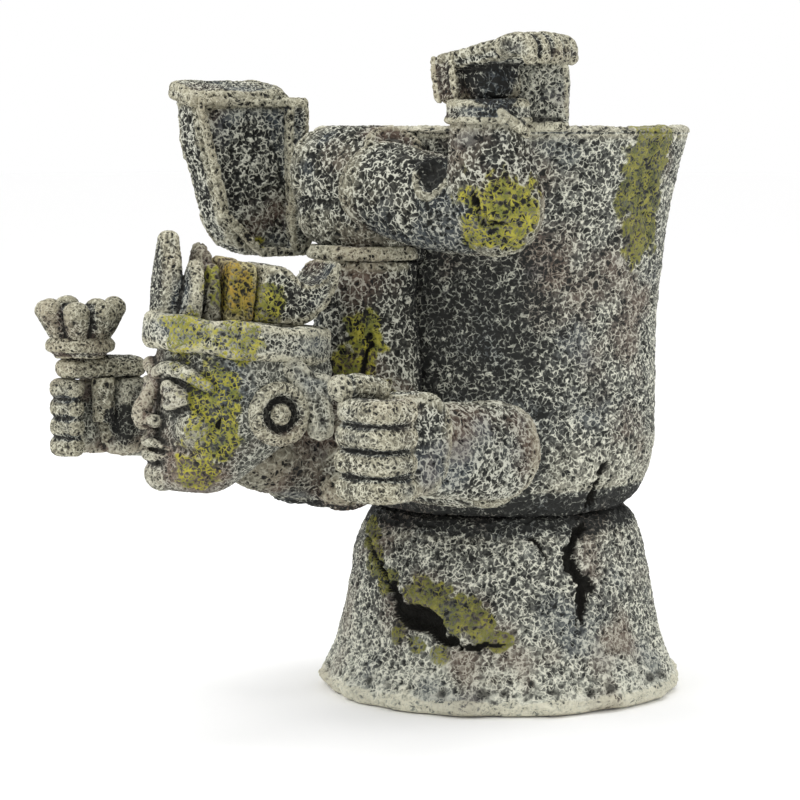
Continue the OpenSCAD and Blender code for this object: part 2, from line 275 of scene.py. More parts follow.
def limb(stations, up=(0, 0, 1), square=1.0, around=36, count=30):
    """A profile carried along a path. Each station is x, y, z, half-width, half-height. The profile is a
    superellipse across the path, and both ends are rounded by rings that shrink as a quarter circle."""
    rows = smooth_path(stations, count)
    path, width, height = rows[:, :3], np.abs(rows[:, 3]), np.abs(rows[:, 4])
    along = np.gradient(path, axis=0)
    along /= np.linalg.norm(along, axis=1, keepdims=True)
    side = np.cross(along, np.array(up, dtype=float))
    side /= np.linalg.norm(side, axis=1, keepdims=True)
    over = np.cross(side, along)
    swing = np.linspace(0.08, math.pi / 2, 7)[:-1]
    shrink = np.concatenate([np.sin(swing), np.ones(count), np.sin(swing)[::-1]])
    reach = np.concatenate([-np.cos(swing), np.zeros(count), np.cos(swing)[::-1]])
    pick = np.concatenate([np.zeros(6, int), np.arange(count), np.full(6, count - 1)])
    size = np.minimum(width, height)[pick] * 0.9
    centre = path[pick] + along[pick] * (reach * size)[:, None]
    angle = np.linspace(0, 2 * math.pi, around, endpoint=False)
    across = power(np.cos(angle), square)[None, :, None] * side[pick][:, None, :]
    upward = power(np.sin(angle), square)[None, :, None] * over[pick][:, None, :]
    rings = (centre[:, None, :] + across * (width[pick] * shrink)[:, None, None]
             + upward * (height[pick] * shrink)[:, None, None])
    return rings_to_surface(rings)


def plate(outline, thickness, place, spin, square=0.35, stations=22):
    """A carved plate: an outline in its own XZ plane, shrunk towards its middle as the surface leaves the
    mid-plane, by the same powers as a superellipse, so that it has flat faces and soft edges."""
    shape = even_outline(outline, 72)
    centre = shape.mean(axis=0)
    lat = np.linspace(-math.pi / 2, math.pi / 2, stations + 2)[1:-1]
    shrink = power(np.cos(lat), square)[:, None, None]
    flat = centre + (shape - centre)[None, :, :] * shrink
    depth = power(np.sin(lat), square)[:, None] * np.ones(len(shape)) * thickness / 2
    points = np.stack([flat[..., 0], depth, flat[..., 1]], axis=-1)
    return rings_to_surface(points @ spin.T + np.array(place))


def even_outline(outline, count):
    """Points evenly spaced along a closed outline's straight sides."""
    corner = np.array(outline, dtype=float)
    step = np.linalg.norm(np.roll(corner, -1, axis=0) - corner, axis=1)
    mark = np.concatenate([[0], np.cumsum(step)])
    where = np.linspace(0, mark[-1], count, endpoint=False)
    loop = np.vstack([corner, corner[:1]])
    return np.stack([np.interp(where, mark, loop[:, k]) for k in (0, 1)], axis=1)


# %% [markdown]
# ## Cracks and moss
# Cracks are cut into the cast and then filled with the dark wash. Each is a jagged line of points with a
# half-width and a depth, so one list serves every piece that a crack runs over. Moss is a list of dabs.

# %% Places on the vessel
foot_high, cup_high = corners("pedestal")[1], corners("cup")[1]
WAIST_Z = foot_high[2]
RIM_Z = cup_high[2]
FOOT_R = foot_high[0]
RIM_R = cup_high[0]
WAIST_R, BELLY_R, BOWL_Z = 29.0, 38.0, 64.0
BELL_SHOULDER, BELL_FLARE, BELL_DECAY = 8.2, 10.0, 10.0
FLOOR_Z, WALL = 57.5, 4.5


def bell_radius(z):
    """The pedestal's radius: a rounded shoulder below the waist plus a flare that dies away from the ground."""
    rounded = 1 - np.clip(z / WAIST_Z, 0, 1) ** 4
    return WAIST_R + BELL_SHOULDER * np.sqrt(rounded) + BELL_FLARE * np.exp(-z / BELL_DECAY) * rounded


def cup_radius(z):
    """The cup's radius: a quarter ellipse up to the bowl's top, then a cubic flare to the rim."""
    low = np.clip((BOWL_Z - z) / (BOWL_Z - WAIST_Z), 0, 1)
    high = np.clip((z - BOWL_Z) / (RIM_Z - BOWL_Z), 0, 1)
    return WAIST_R + (BELLY_R - WAIST_R) * np.sqrt(1 - low ** 2) + (RIM_R - BELLY_R) * high ** 3


def on_vessel(azimuth, z):
    """A point on the vessel's outside: azimuth 0 is the figure's front and 90 its left side."""
    radius = float(cup_radius(z) if z > WAIST_Z else bell_radius(z))
    angle = math.radians(azimuth)
    return [radius * math.sin(angle), -radius * math.cos(angle), z]


# %% [markdown]
# The head is turned to one side and tilted, so its cracks and dabs are written in a frame of its own.

# %% Cracks and dabs of moss
HEAD_TURN, HEAD_TILT = 22.0, 7.0
HEAD = np.array([0.0, -86.0, 72.0])
head_spin = turn(x=-HEAD_TILT, z=-HEAD_TURN)


def in_head(place):
    """A place in the head's own frame, where -Y is the way the face looks, turned into the row's frame."""
    return np.array(place) @ head_spin.T + HEAD


def placed(surfaces, spin, place):
    """Turns surfaces that were drawn at the origin, and moves them to a place."""
    return [(points @ spin.T + np.array(place), faces) for points, faces in surfaces]


# Each crack is a list of rows: place, half-width, depth.
CRACKS = [
    [(on_vessel(-27, 40), 0.5, 1.0), (on_vessel(-17, 36), 0.9, 1.8), (on_vessel(-7, 31), 1.1, 2.2),
     (on_vessel(0, 27), 1.3, 2.6), (on_vessel(4, 23), 2.2, 3.6), (on_vessel(9, 21.6), 3.4, 4.8),
     (on_vessel(15, 21.2), 3.1, 4.8), (on_vessel(20, 19.6), 2.5, 4.0), (on_vessel(25, 16.6), 1.4, 2.8),
     (on_vessel(29, 15.2), 0.9, 2.0), (on_vessel(37, 17.0), 1.0, 2.0), (on_vessel(45, 16.4), 0.4, 0.8)],
    [(on_vessel(86, 60), 0.5, 1.0), (on_vessel(84, 56), 1.0, 2.2), (on_vessel(81, 51), 1.4, 2.8),
     (on_vessel(85, 46.5), 1.5, 3.0), (on_vessel(79, 43), 1.5, 3.0), (on_vessel(70, 37), 1.1, 2.4),
     (on_vessel(73, 33), 1.4, 2.8), (on_vessel(77, 30), 2.6, 3.8), (on_vessel(75, 26), 1.8, 3.2),
     (on_vessel(73, 20.5), 0.5, 1.0)],
    [(on_vessel(77, 31), 1.3, 2.4), (on_vessel(84, 33), 0.5, 1.0)],
    [(on_vessel(57, 41), 1.0, 1.6), (on_vessel(61, 36.5), 1.0, 1.4)],
    [((8.5, -56, 93), 0.4, 0.8), ((10.0, -55, 87), 0.9, 1.8), ((8.6, -56.4, 81), 1.1, 2.0),
     ((10.5, -55.5, 74), 0.5, 1.0)],
    [((46.2, -59.2, 124.5), 0.5, 1.0), ((47.0, -59.2, 121), 1.1, 2.2), ((48.4, -58.8, 117), 1.2, 2.4),
     ((52.9, -55.3, 115.4), 0.6, 1.0)],
    [((48.4, -58.8, 117), 0.9, 1.8), ((47.0, -58.6, 112), 0.5, 1.0)],
    [(in_head((15.5, -11, 4)), 0.4, 0.7), (in_head((15.8, -9, -3)), 0.8, 1.4),
     (in_head((12.5, -11, -10)), 0.4, 0.8)],
]

# Each dab of moss: middle, radius.
MOSS = [
    (on_vessel(97, 133), 12), (on_vessel(95, 124), 11), (on_vessel(99, 114), 10),
    ((52, -56, 119), 11.5), ((47, -60, 112), 7),
    (on_vessel(-27, 41), 3.5), (on_vessel(-20, 38), 4.5), (on_vessel(-12, 34), 4.5), (on_vessel(-4, 29.5), 4),
    (on_vessel(12, 28), 5), (on_vessel(20, 26.5), 5.5), (on_vessel(28, 23.5), 6), (on_vessel(36, 20.5), 5),
    (on_vessel(43, 17.5), 3.5), (on_vessel(4, 17.5), 3), (on_vessel(13, 15.8), 3), (on_vessel(22, 13.6), 3),
    ((9, -56, 90), 6.5), ((6, -57, 82), 6.5), ((12, -54, 78), 5),
    (in_head((14, -12, 7)), 8), (in_head((14, -11, -3)), 7.5), (in_head((10, -12, -12)), 6),
    (in_head((13, -20, 19)), 8), (in_head((18, -9, 18)), 7),
    (in_head((8, -9, 30)), 6.5), (in_head((9, -1, 27)), 6.5),
    ((-52, -58, 122), 2.2), ((-38, -45, 110), 2.2),
]


THIGH_SCOOP = np.array([33.5, -58.6, 131.5])
# Each hollow that is painted dark as painted shade: middle, radius.
SHADED_HOLLOWS = [(THIGH_SCOOP + [-1.5, 1.5, 0], 5.5), ((50, -56, 146.5), 6.5), ((46, -57, 147), 5.5), ((-38, -88, 68), 6)]


def cut_depth(points, lines, core, edge):
    """How deep a set of lines cuts at each point, in millimetres. Between two rows of a line, place, half-width
    and depth change evenly. The cut is full up to core half-widths from the line, and gone at edge half-widths."""
    deepest = np.zeros(len(points))
    for line in lines:
        for (start, width_a, depth_a), (stop, width_b, depth_b) in zip(line[:-1], line[1:]):
            start, stop = np.array(start), np.array(stop)
            run = stop - start
            part = np.clip(((points - start) @ run) / (run @ run), 0, 1)
            gap = np.linalg.norm(points - start - part[:, None] * run, axis=1)
            width = width_a + (width_b - width_a) * part
            depth = depth_a + (depth_b - depth_a) * part
            deepest = np.maximum(deepest, depth * (1 - ramp(gap / width, core, edge)))
    return deepest


def crack_cut(points):
    """How deep the cracks cut at each point and how dark they are, 0 to 1. Noise makes their walls jagged."""
    jagged = points
    for size, throw, salt in ((2.6, 2.2, 60), (1.1, 1.1, 63)):
        noise = [smooth_noise(points, size, salt + k) - 0.5 for k in range(3)]
        jagged = jagged + throw * np.stack(noise, axis=1)
    depth = cut_depth(jagged, CRACKS, 0.45, 1.15)
    return depth, ramp(depth, 0.15, 0.9)


def painted_shade(points):
    """Painted shade, 0 to 1: the groove at the waist, the cup's wall behind the figure and the shaded hollows are
    darkened. Near the ground the pedestal is left paler, below 0.
    """
    radius = np.linalg.norm(points[:, :2], axis=1)
    swing = np.degrees(np.arctan2(points[:, 0], -points[:, 1]))
    # Painted shade in the crease where the cup meets the pedestal.
    groove = 1 - ramp(np.abs(points[:, 2] - WAIST_Z - 1), 2.0, 7.0)
    groove = groove * ramp(radius, 24, 28)
    # Painted shade on the cup's wall close behind the figure.
    behind = (1 - ramp(np.abs(swing - 4), 42, 72)) * ramp(points[:, 2], 46, 56) * (1 - ramp(points[:, 2], 112, 130))
    near = 1 - ramp(radius - cup_radius(np.clip(points[:, 2], WAIST_Z, RIM_Z)), 1.0, 11.0)
    # Painted shade in the listed hollows.
    hollow = np.zeros(len(points))
    for place, reach in SHADED_HOLLOWS:
        hollow = np.maximum(hollow, 1 - ramp(np.linalg.norm(points - np.array(place), axis=1) / reach, 0.6, 1.1))
    # Paler towards the ground on the pedestal and its bead.
    low = (1 - ramp(points[:, 2], 4, 30)) * ramp(radius, 26, 30) * 0.6 + 0.7 * (1 - ramp(points[:, 2], 2, 6))
    dark = np.maximum(np.maximum(groove * 1.9, behind * near), hollow * 1.2)
    return dark * (0.75 + 0.5 * smooth_noise(points, 9.0, 88)) - 1.3 * low


def moss_cover(points):
    """How much moss lies at each point, from 0 to 1: the nearest dab, with a frayed edge."""
    cover = np.zeros(len(points))
    fray = smooth_noise(points, 3.0, 81) * 0.6 + smooth_noise(points, 1.2, 82) * 0.4
    for place, radius in MOSS:
        gap = np.linalg.norm(points - np.array(place), axis=1) / radius
        cover = np.maximum(cover, 1 - ramp(gap + (fray - 0.5) * 1.0, 0.55, 1.0))
    return cover


# %% [markdown]
# ## From surfaces to a cast skin
# The surfaces of one element are joined, then a voxel remesh melts them into one skin, as clay does under the
# carver's thumb. Smoothing wears its edges. Last the grain is pressed in: each point moves along its normal,
# down in the pits and up on the ridges, and the same numbers are stored for the paint.

# %% Skin maker
def mesh_arrays(mesh):
    """Vertex places, normals and edges of a mesh as arrays."""
    count = len(mesh.vertices)
    places = np.empty(count * 3, np.float32)
    mesh.vertices.foreach_get("co", places)
    normals = np.empty(count * 3, np.float32)
    mesh.vertex_normals.foreach_get("vector", normals)
    edges = np.empty(len(mesh.edges) * 2, np.int32)
    mesh.edges.foreach_get("vertices", edges)
    return places.reshape(-1, 3).astype(float), normals.reshape(-1, 3).astype(float), edges.reshape(-1, 2)


def relax(places, edges, times):
    """Each point moves to the average of itself and its neighbours, so many times."""
    count = len(places)
    near = np.bincount(edges.ravel(), minlength=count)[:, None] + 1
    for _ in range(times):
        total = places.copy()
        for axis in range(3):
            total[:, axis] += np.bincount(edges[:, 0], weights=places[edges[:, 1], axis], minlength=count)
            total[:, axis] += np.bincount(edges[:, 1], weights=places[edges[:, 0], axis], minlength=count)
        places = total / near
    return places


def press_grain(places, stretch, size):
    """Height of the stone's grain at each point, -1 to 1: cell borders stand up, cells sink, some more than
    others, and smooth noise bends the net and mottles it."""
    bent = places * np.array(stretch)
    bent = bent + 1.5 * np.stack([smooth_noise(bent, 2.6, 10 + k) - 0.5 for k in range(3)], axis=1)
    first, second, owner = cell_noise(bent, size, 20)
    pit = ramp(second - first, 0.04, 0.42) * (0.35 + 0.65 * owner)
    fine_first, fine_second, fine_owner = cell_noise(bent, size * 0.55, 30)
    fine = ramp(fine_second - fine_first, 0.05, 0.5) * (0.3 + 0.7 * fine_owner)
    rough = smooth_noise(places, 0.9, 40) - 0.5
    return 1 - 1.35 * pit - 0.55 * fine + 0.5 * rough


def store(mesh, name, values):
    """Writes one number for each vertex into a named attribute."""
    attribute = mesh.attributes.new(name, "FLOAT", "POINT")
    attribute.data.foreach_set("value", values.astype(np.float32))


def kept_out(places):
    """Points that came through the cup's wall go back, straight out from the axis, to the middle of the wall."""
    radius = np.linalg.norm(places[:, :2], axis=1)
    buried = cup_radius(np.clip(places[:, 2], WAIST_Z, RIM_Z)) - WALL / 2
    push = np.where(places[:, 2] > FLOOR_Z, np.maximum(buried / np.maximum(radius, 1e-6), 1), 1)
    return places * np.stack([push, push, np.ones(len(places))], axis=1)


GRAIN_MEAN = 0.3
WORN_ROUNDS, BROAD_ROUNDS = 14, 36


def finish_skin(node, mesh, paint, depth, lumps, size=2.1, pitted=1.0, wash=0.0, stretch=(1, 1, 1), extra=None):
    """Presses the grain into a dense mesh in millimetres, stores the paint's masks and scales it to metres.
    pitted is how strongly the pits hold the wash. wash darkens the piece above 0 and leaves it paler below.
    stretch squeezes the grain along X, Y and Z. extra reshapes the points before the grain is pressed in."""
    places, normals, edges = mesh_arrays(mesh)
    if node not in ("pedestal", "cup"):
        places = kept_out(places)
    if extra is not None:
        places = extra(places, normals)
    worn = relax(places, edges, WORN_ROUNDS)
    broad = relax(worn, edges, BROAD_ROUNDS)
    proud = ((places - worn) * normals).sum(axis=1) + 0.4 * ((worn - broad) * normals).sum(axis=1)
    lump = (smooth_noise(places, 7.0, 50) - 0.5) * 0.7 + (smooth_noise(places, 3.2, 51) - 0.5) * 0.3
    grain = press_grain(places, stretch, size)
    cut, dark = crack_cut(places)
    shift = depth * (grain - 0.8) + lumps * 2 * lump - cut
    shift = shift * ramp(places[:, 2], 0.3, 1.6)
    mesh.vertices.foreach_set("co", ((places + normals * shift[:, None]) * MM).astype(np.float32).ravel())
    store(mesh, "grain", np.clip(0.5 + 0.5 * (GRAIN_MEAN + (grain - GRAIN_MEAN) * pitted), 0, 1))
    store(mesh, "edge", np.clip(0.5 + proud * 1.6, 0, 1))
    store(mesh, "moss", moss_cover(places))
    store(mesh, "crack", dark)
    # The shade mask holds painted shade in creases, hollows and behind the figure, plus the piece's wash offset.
    store(mesh, "shade", painted_shade(places) + wash)
    mesh.update()
    mesh.shade_smooth()
    piece = bpy.data.objects.new(node, mesh)
    scene.collection.objects.link(piece)
    mesh.materials.clear()
    mesh.materials.append(paint)
    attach(piece, "root")
    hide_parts(node)
    print(node, len(mesh.polygons), "faces")


def make_mesh(name, surfaces):
    """One mesh, in millimetres, from several closed surfaces."""
    places, faces, offset = [], [], 0
    for points, groups in surfaces:
        places.append(points)
        for group in groups:
            faces.extend((group + offset).tolist())
        offset += len(points)
    mesh = bpy.data.meshes.new(name)
    mesh.from_pydata(np.vstack(places).tolist(), [], faces)
    mesh.update()
    return mesh


def melt(name, surfaces, voxel, wear):
    """Joins closed surfaces by a voxel remesh and wears the edges off by smoothing."""
    rough = bpy.data.objects.new(name + "_rough", make_mesh(name + "_rough", surfaces))
    scene.collection.objects.link(rough)
    remesh = rough.modifiers.new("melt", "REMESH")
    remesh.mode = "VOXEL"
    remesh.voxel_size = voxel
    remesh.adaptivity = 0
    smooth = rough.modifiers.new("wear", "SMOOTH")
    smooth.factor = 0.5
    smooth.iterations = wear
    seen = rough.evaluated_get(bpy.context.evaluated_depsgraph_get())
    mesh = bpy.data.meshes.new_from_object(seen)
    bpy.data.objects.remove(rough)
    mesh.name = name
    return mesh


slot_of = {part["node"]: part["material_slot"] for part in frame["record"]["subparts"]}


def at(node, u, v, w):
    """A point inside a node's box: each of u, v and w runs from 0 to 1 along X, Y and Z."""
    low, high = corners(node)
    return low + (high - low) * np.array([u, v, w])


# %% [markdown]
# ## Paint
# The finish is painted cast resin: a black-brown wash wiped off so that it stays in the pits, a mid grey body,
# then an almost dry brush of pale grey and bone that only touches ridges and edges. Brown and blue-grey are
# misted over in places, and moss greens are dabbed on last. The masks stored on the skin drive the large
# marks, and a cell pattern in the shader draws the net of ridges that is finer than the mesh.

# %% Paint tools
def linear(code):
    """An sRGB hex colour as linear RGBA."""
    parts = np.array([int(code[k:k + 2], 16) for k in (1, 3, 5)]) / 255
    parts = np.where(parts <= 0.04045, parts / 12.92, ((parts + 0.055) / 1.055) ** 2.4)
    return (*parts.tolist(), 1.0)


def add(tree, kind, out, links, **settings):
    """Adds a node with its settings and links, and returns one of its outputs. links maps an input's name or
    number to a socket or to a fixed value."""
    made = tree.nodes.new(kind)
    for key, value in settings.items():
        setattr(made, key, value)
    for key, value in links.items():
        if isinstance(value, bpy.types.NodeSocket):
            tree.links.new(value, made.inputs[key])
        else:
            made.inputs[key].default_value = value
    return made.outputs[out]


MATH, MIX, RANGE, NOISE = "ShaderNodeMath", "ShaderNodeMix", "ShaderNodeMapRange", "ShaderNodeTexNoise"
MASKS = ("grain", "edge", "moss", "crack", "shade")
# Clouds of smooth noise: their size in millimetres, their detail and a seed.
CLOUDS = {"broken": (1.3, 1.0, 3.0), "speck": (0.8, 2.0, 5.0), "patch": (8.0, 3.0, 1.0),
          "brown": (19.0, 2.0, 2.0), "blue": (15.0, 2.0, 7.0), "leaf": (2.4, 3.0, 4.0)}
BEND_MM, BEND_BY = 2.0, 0.0026


def painted_stone(name, steps, cream, edge_amount, moss, moss_dark, tint=0.5, net=1.6):
    """Painted cast resin. steps are its colours from the bottom of a pit to the top of a ridge, cream is the
    dry brush on the edges and edge_amount how much of it stays, tint how strong the misted colours are, and net
    the width in millimetres of one mesh of the net of ridges."""
    paint = bpy.data.materials.new(name)
    paint.use_nodes = True
    tree = paint.node_tree
    shader = tree.nodes["Principled BSDF"]
    shader.inputs["Specular IOR Level"].default_value = 0.3
    here = add(tree, "ShaderNodeTexCoord", "Object", {})
    mask = {key: add(tree, "ShaderNodeAttribute", "Fac", {}, attribute_name=key) for key in MASKS}
    cloud = {key: add(tree, NOISE, "Fac", {"Vector": here, "W": seed, "Scale": 1 / (size * MM), "Detail": detail},
                      noise_dimensions="4D") for key, (size, detail, seed) in CLOUDS.items()}

    # The net of ridges: cell borders, bent by noise so that no border is straight, and broken in places.
    bend = add(tree, NOISE, "Color", {"Vector": here, "Scale": 1 / (BEND_MM * MM), "Detail": 3.0})
    bent = add(tree, "ShaderNodeVectorMath", 0, {0: bend, 1: (BEND_BY,) * 3, 2: here}, operation="MULTIPLY_ADD")
    border = add(tree, "ShaderNodeTexVoronoi", "Distance", {"Vector": bent, "Scale": 1 / (net * MM)},
                 feature="DISTANCE_TO_EDGE")
    whole = add(tree, RANGE, "Result", {"Value": cloud["broken"], "From Min": 0.32, "From Max": 0.55},
                interpolation_type="SMOOTHSTEP")
    ridge = add(tree, RANGE, "Result", {"Value": border, "From Min": 0.16, "From Max": 0.02, "To Max": whole},
                interpolation_type="SMOOTHSTEP")
    speck = add(tree, RANGE, "Result", {"Value": cloud["speck"], "From Min": 0.28, "From Max": 0.75},
                interpolation_type="SMOOTHSTEP")

    # Height of the surface, then the same height shifted by patches where the brush missed, and lowered where the
    # shade mask holds painted shade.
    height = add(tree, MATH, 0, {0: mask["grain"], 1: 0.45}, operation="MULTIPLY")
    for part, share in ((ridge, 0.42), (speck, 0.24)):
        height = add(tree, MATH, 0, {0: part, 1: share, 2: height}, operation="MULTIPLY_ADD")
    dab = add(tree, MATH, 0, {0: height, 1: 0.18}, operation="SUBTRACT")
    for part, share in ((cloud["patch"], 0.36), (mask["shade"], -0.2)):
        dab = add(tree, MATH, 0, {0: part, 1: share, 2: dab}, operation="MULTIPLY_ADD")
    colour = add(tree, "ShaderNodeValToRGB", "Color", {"Fac": dab})
    for k, (place, code) in enumerate(steps):
        stops = colour.node.color_ramp.elements
        stop = stops[k] if k < 2 else stops.new(place)
        stop.position, stop.color = place, linear(code)

    # Layers of paint, each kept where all of its fields are high: colour, strength, (field, none, all).
    leaf = add(tree, RANGE, "Result", {"Value": cloud["leaf"], "From Min": 0.35, "From Max": 0.62})
    greens = add(tree, MIX, 2, {0: leaf, 6: linear(moss_dark), 7: linear(moss)}, data_type="RGBA")
    layers = [
        (linear("#6b5547"), tint, [(cloud["brown"], 0.5, 0.7), (dab, 0.3, 0.5)]),
        (linear("#4f5a64"), tint * 0.7, [(cloud["blue"], 0.52, 0.7), (dab, 0.3, 0.5)]),
        (linear("#1d1d1a"), 0.85, [(mask["edge"], 0.47, 0.18)]),
        # The dry brush is kept off where the shade mask holds painted shade.
        (linear(cream), edge_amount, [(mask["edge"], 0.58, 0.86), (height, 0.3, 0.55), (mask["shade"], 0.7, 0.2)]),
        (greens, 0.92, [(mask["moss"], 0.05, 0.7), (height, 0.44, 0.62)]),
        (linear("#15140f"), 1.0, [(mask["crack"], 0.25, 0.9)])]
    for upper, amount, fields in layers:
        for field, none, every in fields:
            amount = add(tree, RANGE, "Result", {"Value": field, "From Min": none, "From Max": every,
                                                 "To Max": amount}, interpolation_type="SMOOTHSTEP")
        colour = add(tree, MIX, 2, {0: amount, 6: colour, 7: upper}, data_type="RGBA")
    tree.links.new(colour, shader.inputs["Base Color"])
    rough = add(tree, RANGE, "Result", {"Value": height, "To Min": 0.95, "To Max": 0.74})
    tree.links.new(rough, shader.inputs["Roughness"])
    bump = add(tree, "ShaderNodeBump", "Normal", {"Strength": 0.8, "Distance": 0.0005, "Height": height})
    tree.links.new(bump, shader.inputs["Normal"])
    return paint


# %% [markdown]
# Six mixtures of the same paints follow. Four belong to the frame's material slots, and the vessel and the head have
# one each of their own. Each row of steps is a height on the grain, 0 to 1, and the colour there.

# %% Paints
# Weathered stone: the figure's own surface, half wiped, so the eye sees black pits under a bright net.
weathered = painted_stone("weathered_cast_stone", [
    (0.42, "#1a1b19"), (0.54, "#353632"), (0.63, "#60615a"), (0.715, "#939488"), (0.84, "#c4c4b6")],
    "#bfbaa0", 0.4, "#a8a12c", "#62681c")
# Vessel: the same paints wiped more evenly over a large surface, so the contrast is softer.
vessel = painted_stone("wiped_cast_stone", [
    (0.32, "#262725"), (0.46, "#484945"), (0.55, "#666760"), (0.64, "#888a80"), (0.75, "#b3b4a6"),
    (0.92, "#deddcd")], "#cdc8b0", 0.55, "#8a862c", "#555a1e", net=1.4)
# Shadowed stone: a darker copy of the paint for the parts that sit in shade, painted shade.
shadowed = painted_stone("shadowed_cast_stone", [
    (0.35, "#191917"), (0.5, "#2c2c29"), (0.6, "#494944"), (0.72, "#73746a"), (0.9, "#a0a094")],
    "#a9a48d", 0.4, "#8f8d2c", "#676a20")
# Worn pale stone: small raised carvings that every pass of the brush touches.
worn = painted_stone("dry_brushed_cast_stone", [
    (0.43, "#1e1e1c"), (0.545, "#42433e"), (0.63, "#72736a"), (0.725, "#a3a496"), (0.86, "#cdccbc")],
    "#cbc5a9", 0.5, "#a8a12c", "#62681c", net=1.1)
# Rubbed stone: the head, where the wash was rubbed thin and grey covers all but the lines of the carving.
rubbed = painted_stone("rubbed_cast_stone", [
    (0.3, "#22221f"), (0.45, "#484943"), (0.56, "#72736a"), (0.67, "#97988c"), (0.84, "#c4c4b6")],
    "#cdc9b2", 0.5, "#a8a12c", "#62681c", tint=0.8, net=1.2)
# Mossy stone: ochre and moss dabs over the wash.
mossy = painted_stone("moss_washed_cast_stone", [
    (0.38, "#24231b"), (0.5, "#4b4630"), (0.6, "#776d44"), (0.7, "#9c9260"), (0.84, "#bcb68c")],
    "#bdb488", 0.4, "#a1842f", "#7c7628")
paints = {"weathered_stone": weathered, "shadowed_stone": shadowed, "worn_pale_stone": worn, "mossy_stone": mossy}
print("paints:", ", ".join(paints))


# %% [markdown]
# ## Finishes
# Small parts need a finer voxel, less wear and a finer, shallower grain than the big soft masses, or their form
# would be lost in the pits. The table holds those choices, one row for each element.

# %% Finishes
# Voxel in millimetres, rounds of wear, depth of grain, height of lumps, size of grain, pitted, wash.
FINISH = {
    "chest": (0.5, 3, 0.5, 0.5, 2.1, 1, 0),
    "torso": (0.48, 3, 0.5, 0.5, 2.1, 1, 0),
    "belt": (0.4, 1, 0.5, 0.3, 2.1, 1, 0),
    "hips": (0.46, 3, 0.5, 0.5, 2.1, 1, 0.15),
    "neck": (0.5, 3, 0.5, 0.5, 2.1, 1, 0),
    "head": (0.34, 4, 0.2, 0.2, 1.4, 0.45, 0),
    "headband": (0.36, 1, 0.26, 0.2, 1.5, 0.6, -0.75),
    "front_feather": (0.32, 1, 0.25, 0.25, 1.4, 0.6, 0),
    "rear_feather": (0.34, 1, 0.3, 0.4, 1.5, 0.7, -0.3),
    "feather_block": (0.34, 1, 0.28, 0.35, 1.5, 0.7, 0),
    "horned_block": (0.36, 1, 0.28, 0.3, 1.6, 0.7, 0),
    "left_ear_spool": (0.28, 2, 0.2, 0.2, 1.3, 0.5, 0),
    "right_ear_spool": (0.28, 2, 0.2, 0.2, 1.3, 0.5, 0),
    "left_ear_strap": (0.36, 2, 0.28, 0.3, 1.5, 0.6, 0),
    "right_ear_strap": (0.36, 2, 0.28, 0.3, 1.5, 0.6, 0),
    "left_upper_arm": (0.5, 3, 0.5, 0.5, 2.1, 1, 0),
    "right_upper_arm": (0.5, 3, 0.5, 0.5, 2.1, 1, 0),
    "left_forearm": (0.46, 3, 0.5, 0.5, 2.1, 1, -0.35),
    "right_forearm": (0.48, 3, 0.5, 0.5, 2.1, 1, 0),
    "left_palm": (0.45, 3, 0.5, 0.5, 2.1, 1, 0),
    "left_fingers": (0.32, 1, 0.25, 0.25, 1.4, 0.6, 0),
    "left_thumb": (0.32, 2, 0.25, 0.3, 1.4, 0.6, 0),
    "right_palm": (0.4, 3, 0.3, 0.5, 1.6, 0.6, 0),
    "right_fingers": (0.32, 1, 0.22, 0.2, 1.3, 0.55, 0),
    "right_thumb": (0.36, 2, 0.25, 0.3, 1.4, 0.6, 0),
    "sceptre_peg": (0.34, 1, 0.25, 0.3, 2.1, 1, 0),
    "sceptre_collar": (0.34, 1, 0.25, 0.3, 1.4, 0.6, 0),
    "sceptre_plume": (0.32, 1, 0.22, 0.25, 1.3, 0.7, 0.25),
    "left_thigh": (0.46, 3, 0.5, 0.5, 2.1, 1, 0.15),
    "right_thigh": (0.48, 3, 0.5, 0.5, 2.1, 1, 0),
    "left_shin": (0.46, 3, 0.5, 0.5, 2.1, 1, 0),
    "right_shin": (0.44, 3, 0.5, 0.5, 2.1, 1, -0.15),
    "right_leg_panel": (0.38, 1, 0.35, 0.35, 2.1, 1, 0),
    "left_sandal": (0.36, 2, 0.3, 0.5, 1.6, 0.8, 0),
    "right_sandal": (0.38, 2, 0.35, 0.5, 1.7, 1, 0),
    "left_toes": (0.28, 1, 0.2, 0.2, 1.3, 0.6, 0),
    "right_toes": (0.28, 1, 0.2, 0.2, 1.3, 0.6, 0),
    "left_heel_strap": (0.32, 1, 0.28, 0.3, 1.5, 0.8, 0),
    "left_ankle_cuff": (0.38, 1, 0.3, 0.3, 2.1, 1, 0),
    "left_sandal_flap": (0.34, 1, 0.3, 0.3, 1.6, 0.8, -0.5),
    "right_sandal_flap": (0.42, 3, 0.5, 0.8, 2.1, 1, 0),
}
print("finishes:", len(FINISH))


def cast(node, surfaces, paint=None, extra=None):
    """The cast skin that stands for one node: its surfaces are melted together, worn and grained as its row of
    the table says, in the paint of the node's own slot unless another is given."""
    voxel, wear, depth, lumps, size, pitted, wash = FINISH[node]
    finish_skin(node, melt(node, surfaces, voxel, wear), paint or paints[slot_of[node]], depth, lumps, size,
                pitted, wash, extra=extra)


# %% [markdown]
# ## Pedestal and cup
# Both were thrown on a wheel before casting, so they are rings round one axis. The grid is fine enough for the
# pits to be real hollows. The pedestal's ground edge is a thick uneven bead and its underside stays flat.

# %% Vessel
PEDESTAL_AROUND, CUP_AROUND = 480, 420
SIDE_MM, FLAT_MM = 0.48, 3.0
LIP_H = 1.4


def revolve(profile, around):
    """A closed solid of revolution: the profile's radius and height, carried round the axis."""
    angle = np.linspace(0, 2 * math.pi, around, endpoint=False)
    radius, height = profile[:, :1], profile[:, 1:]
    return rings_to_surface(np.stack([radius * np.cos(angle), radius * np.sin(angle),
                                      height + 0 * angle], axis=-1))


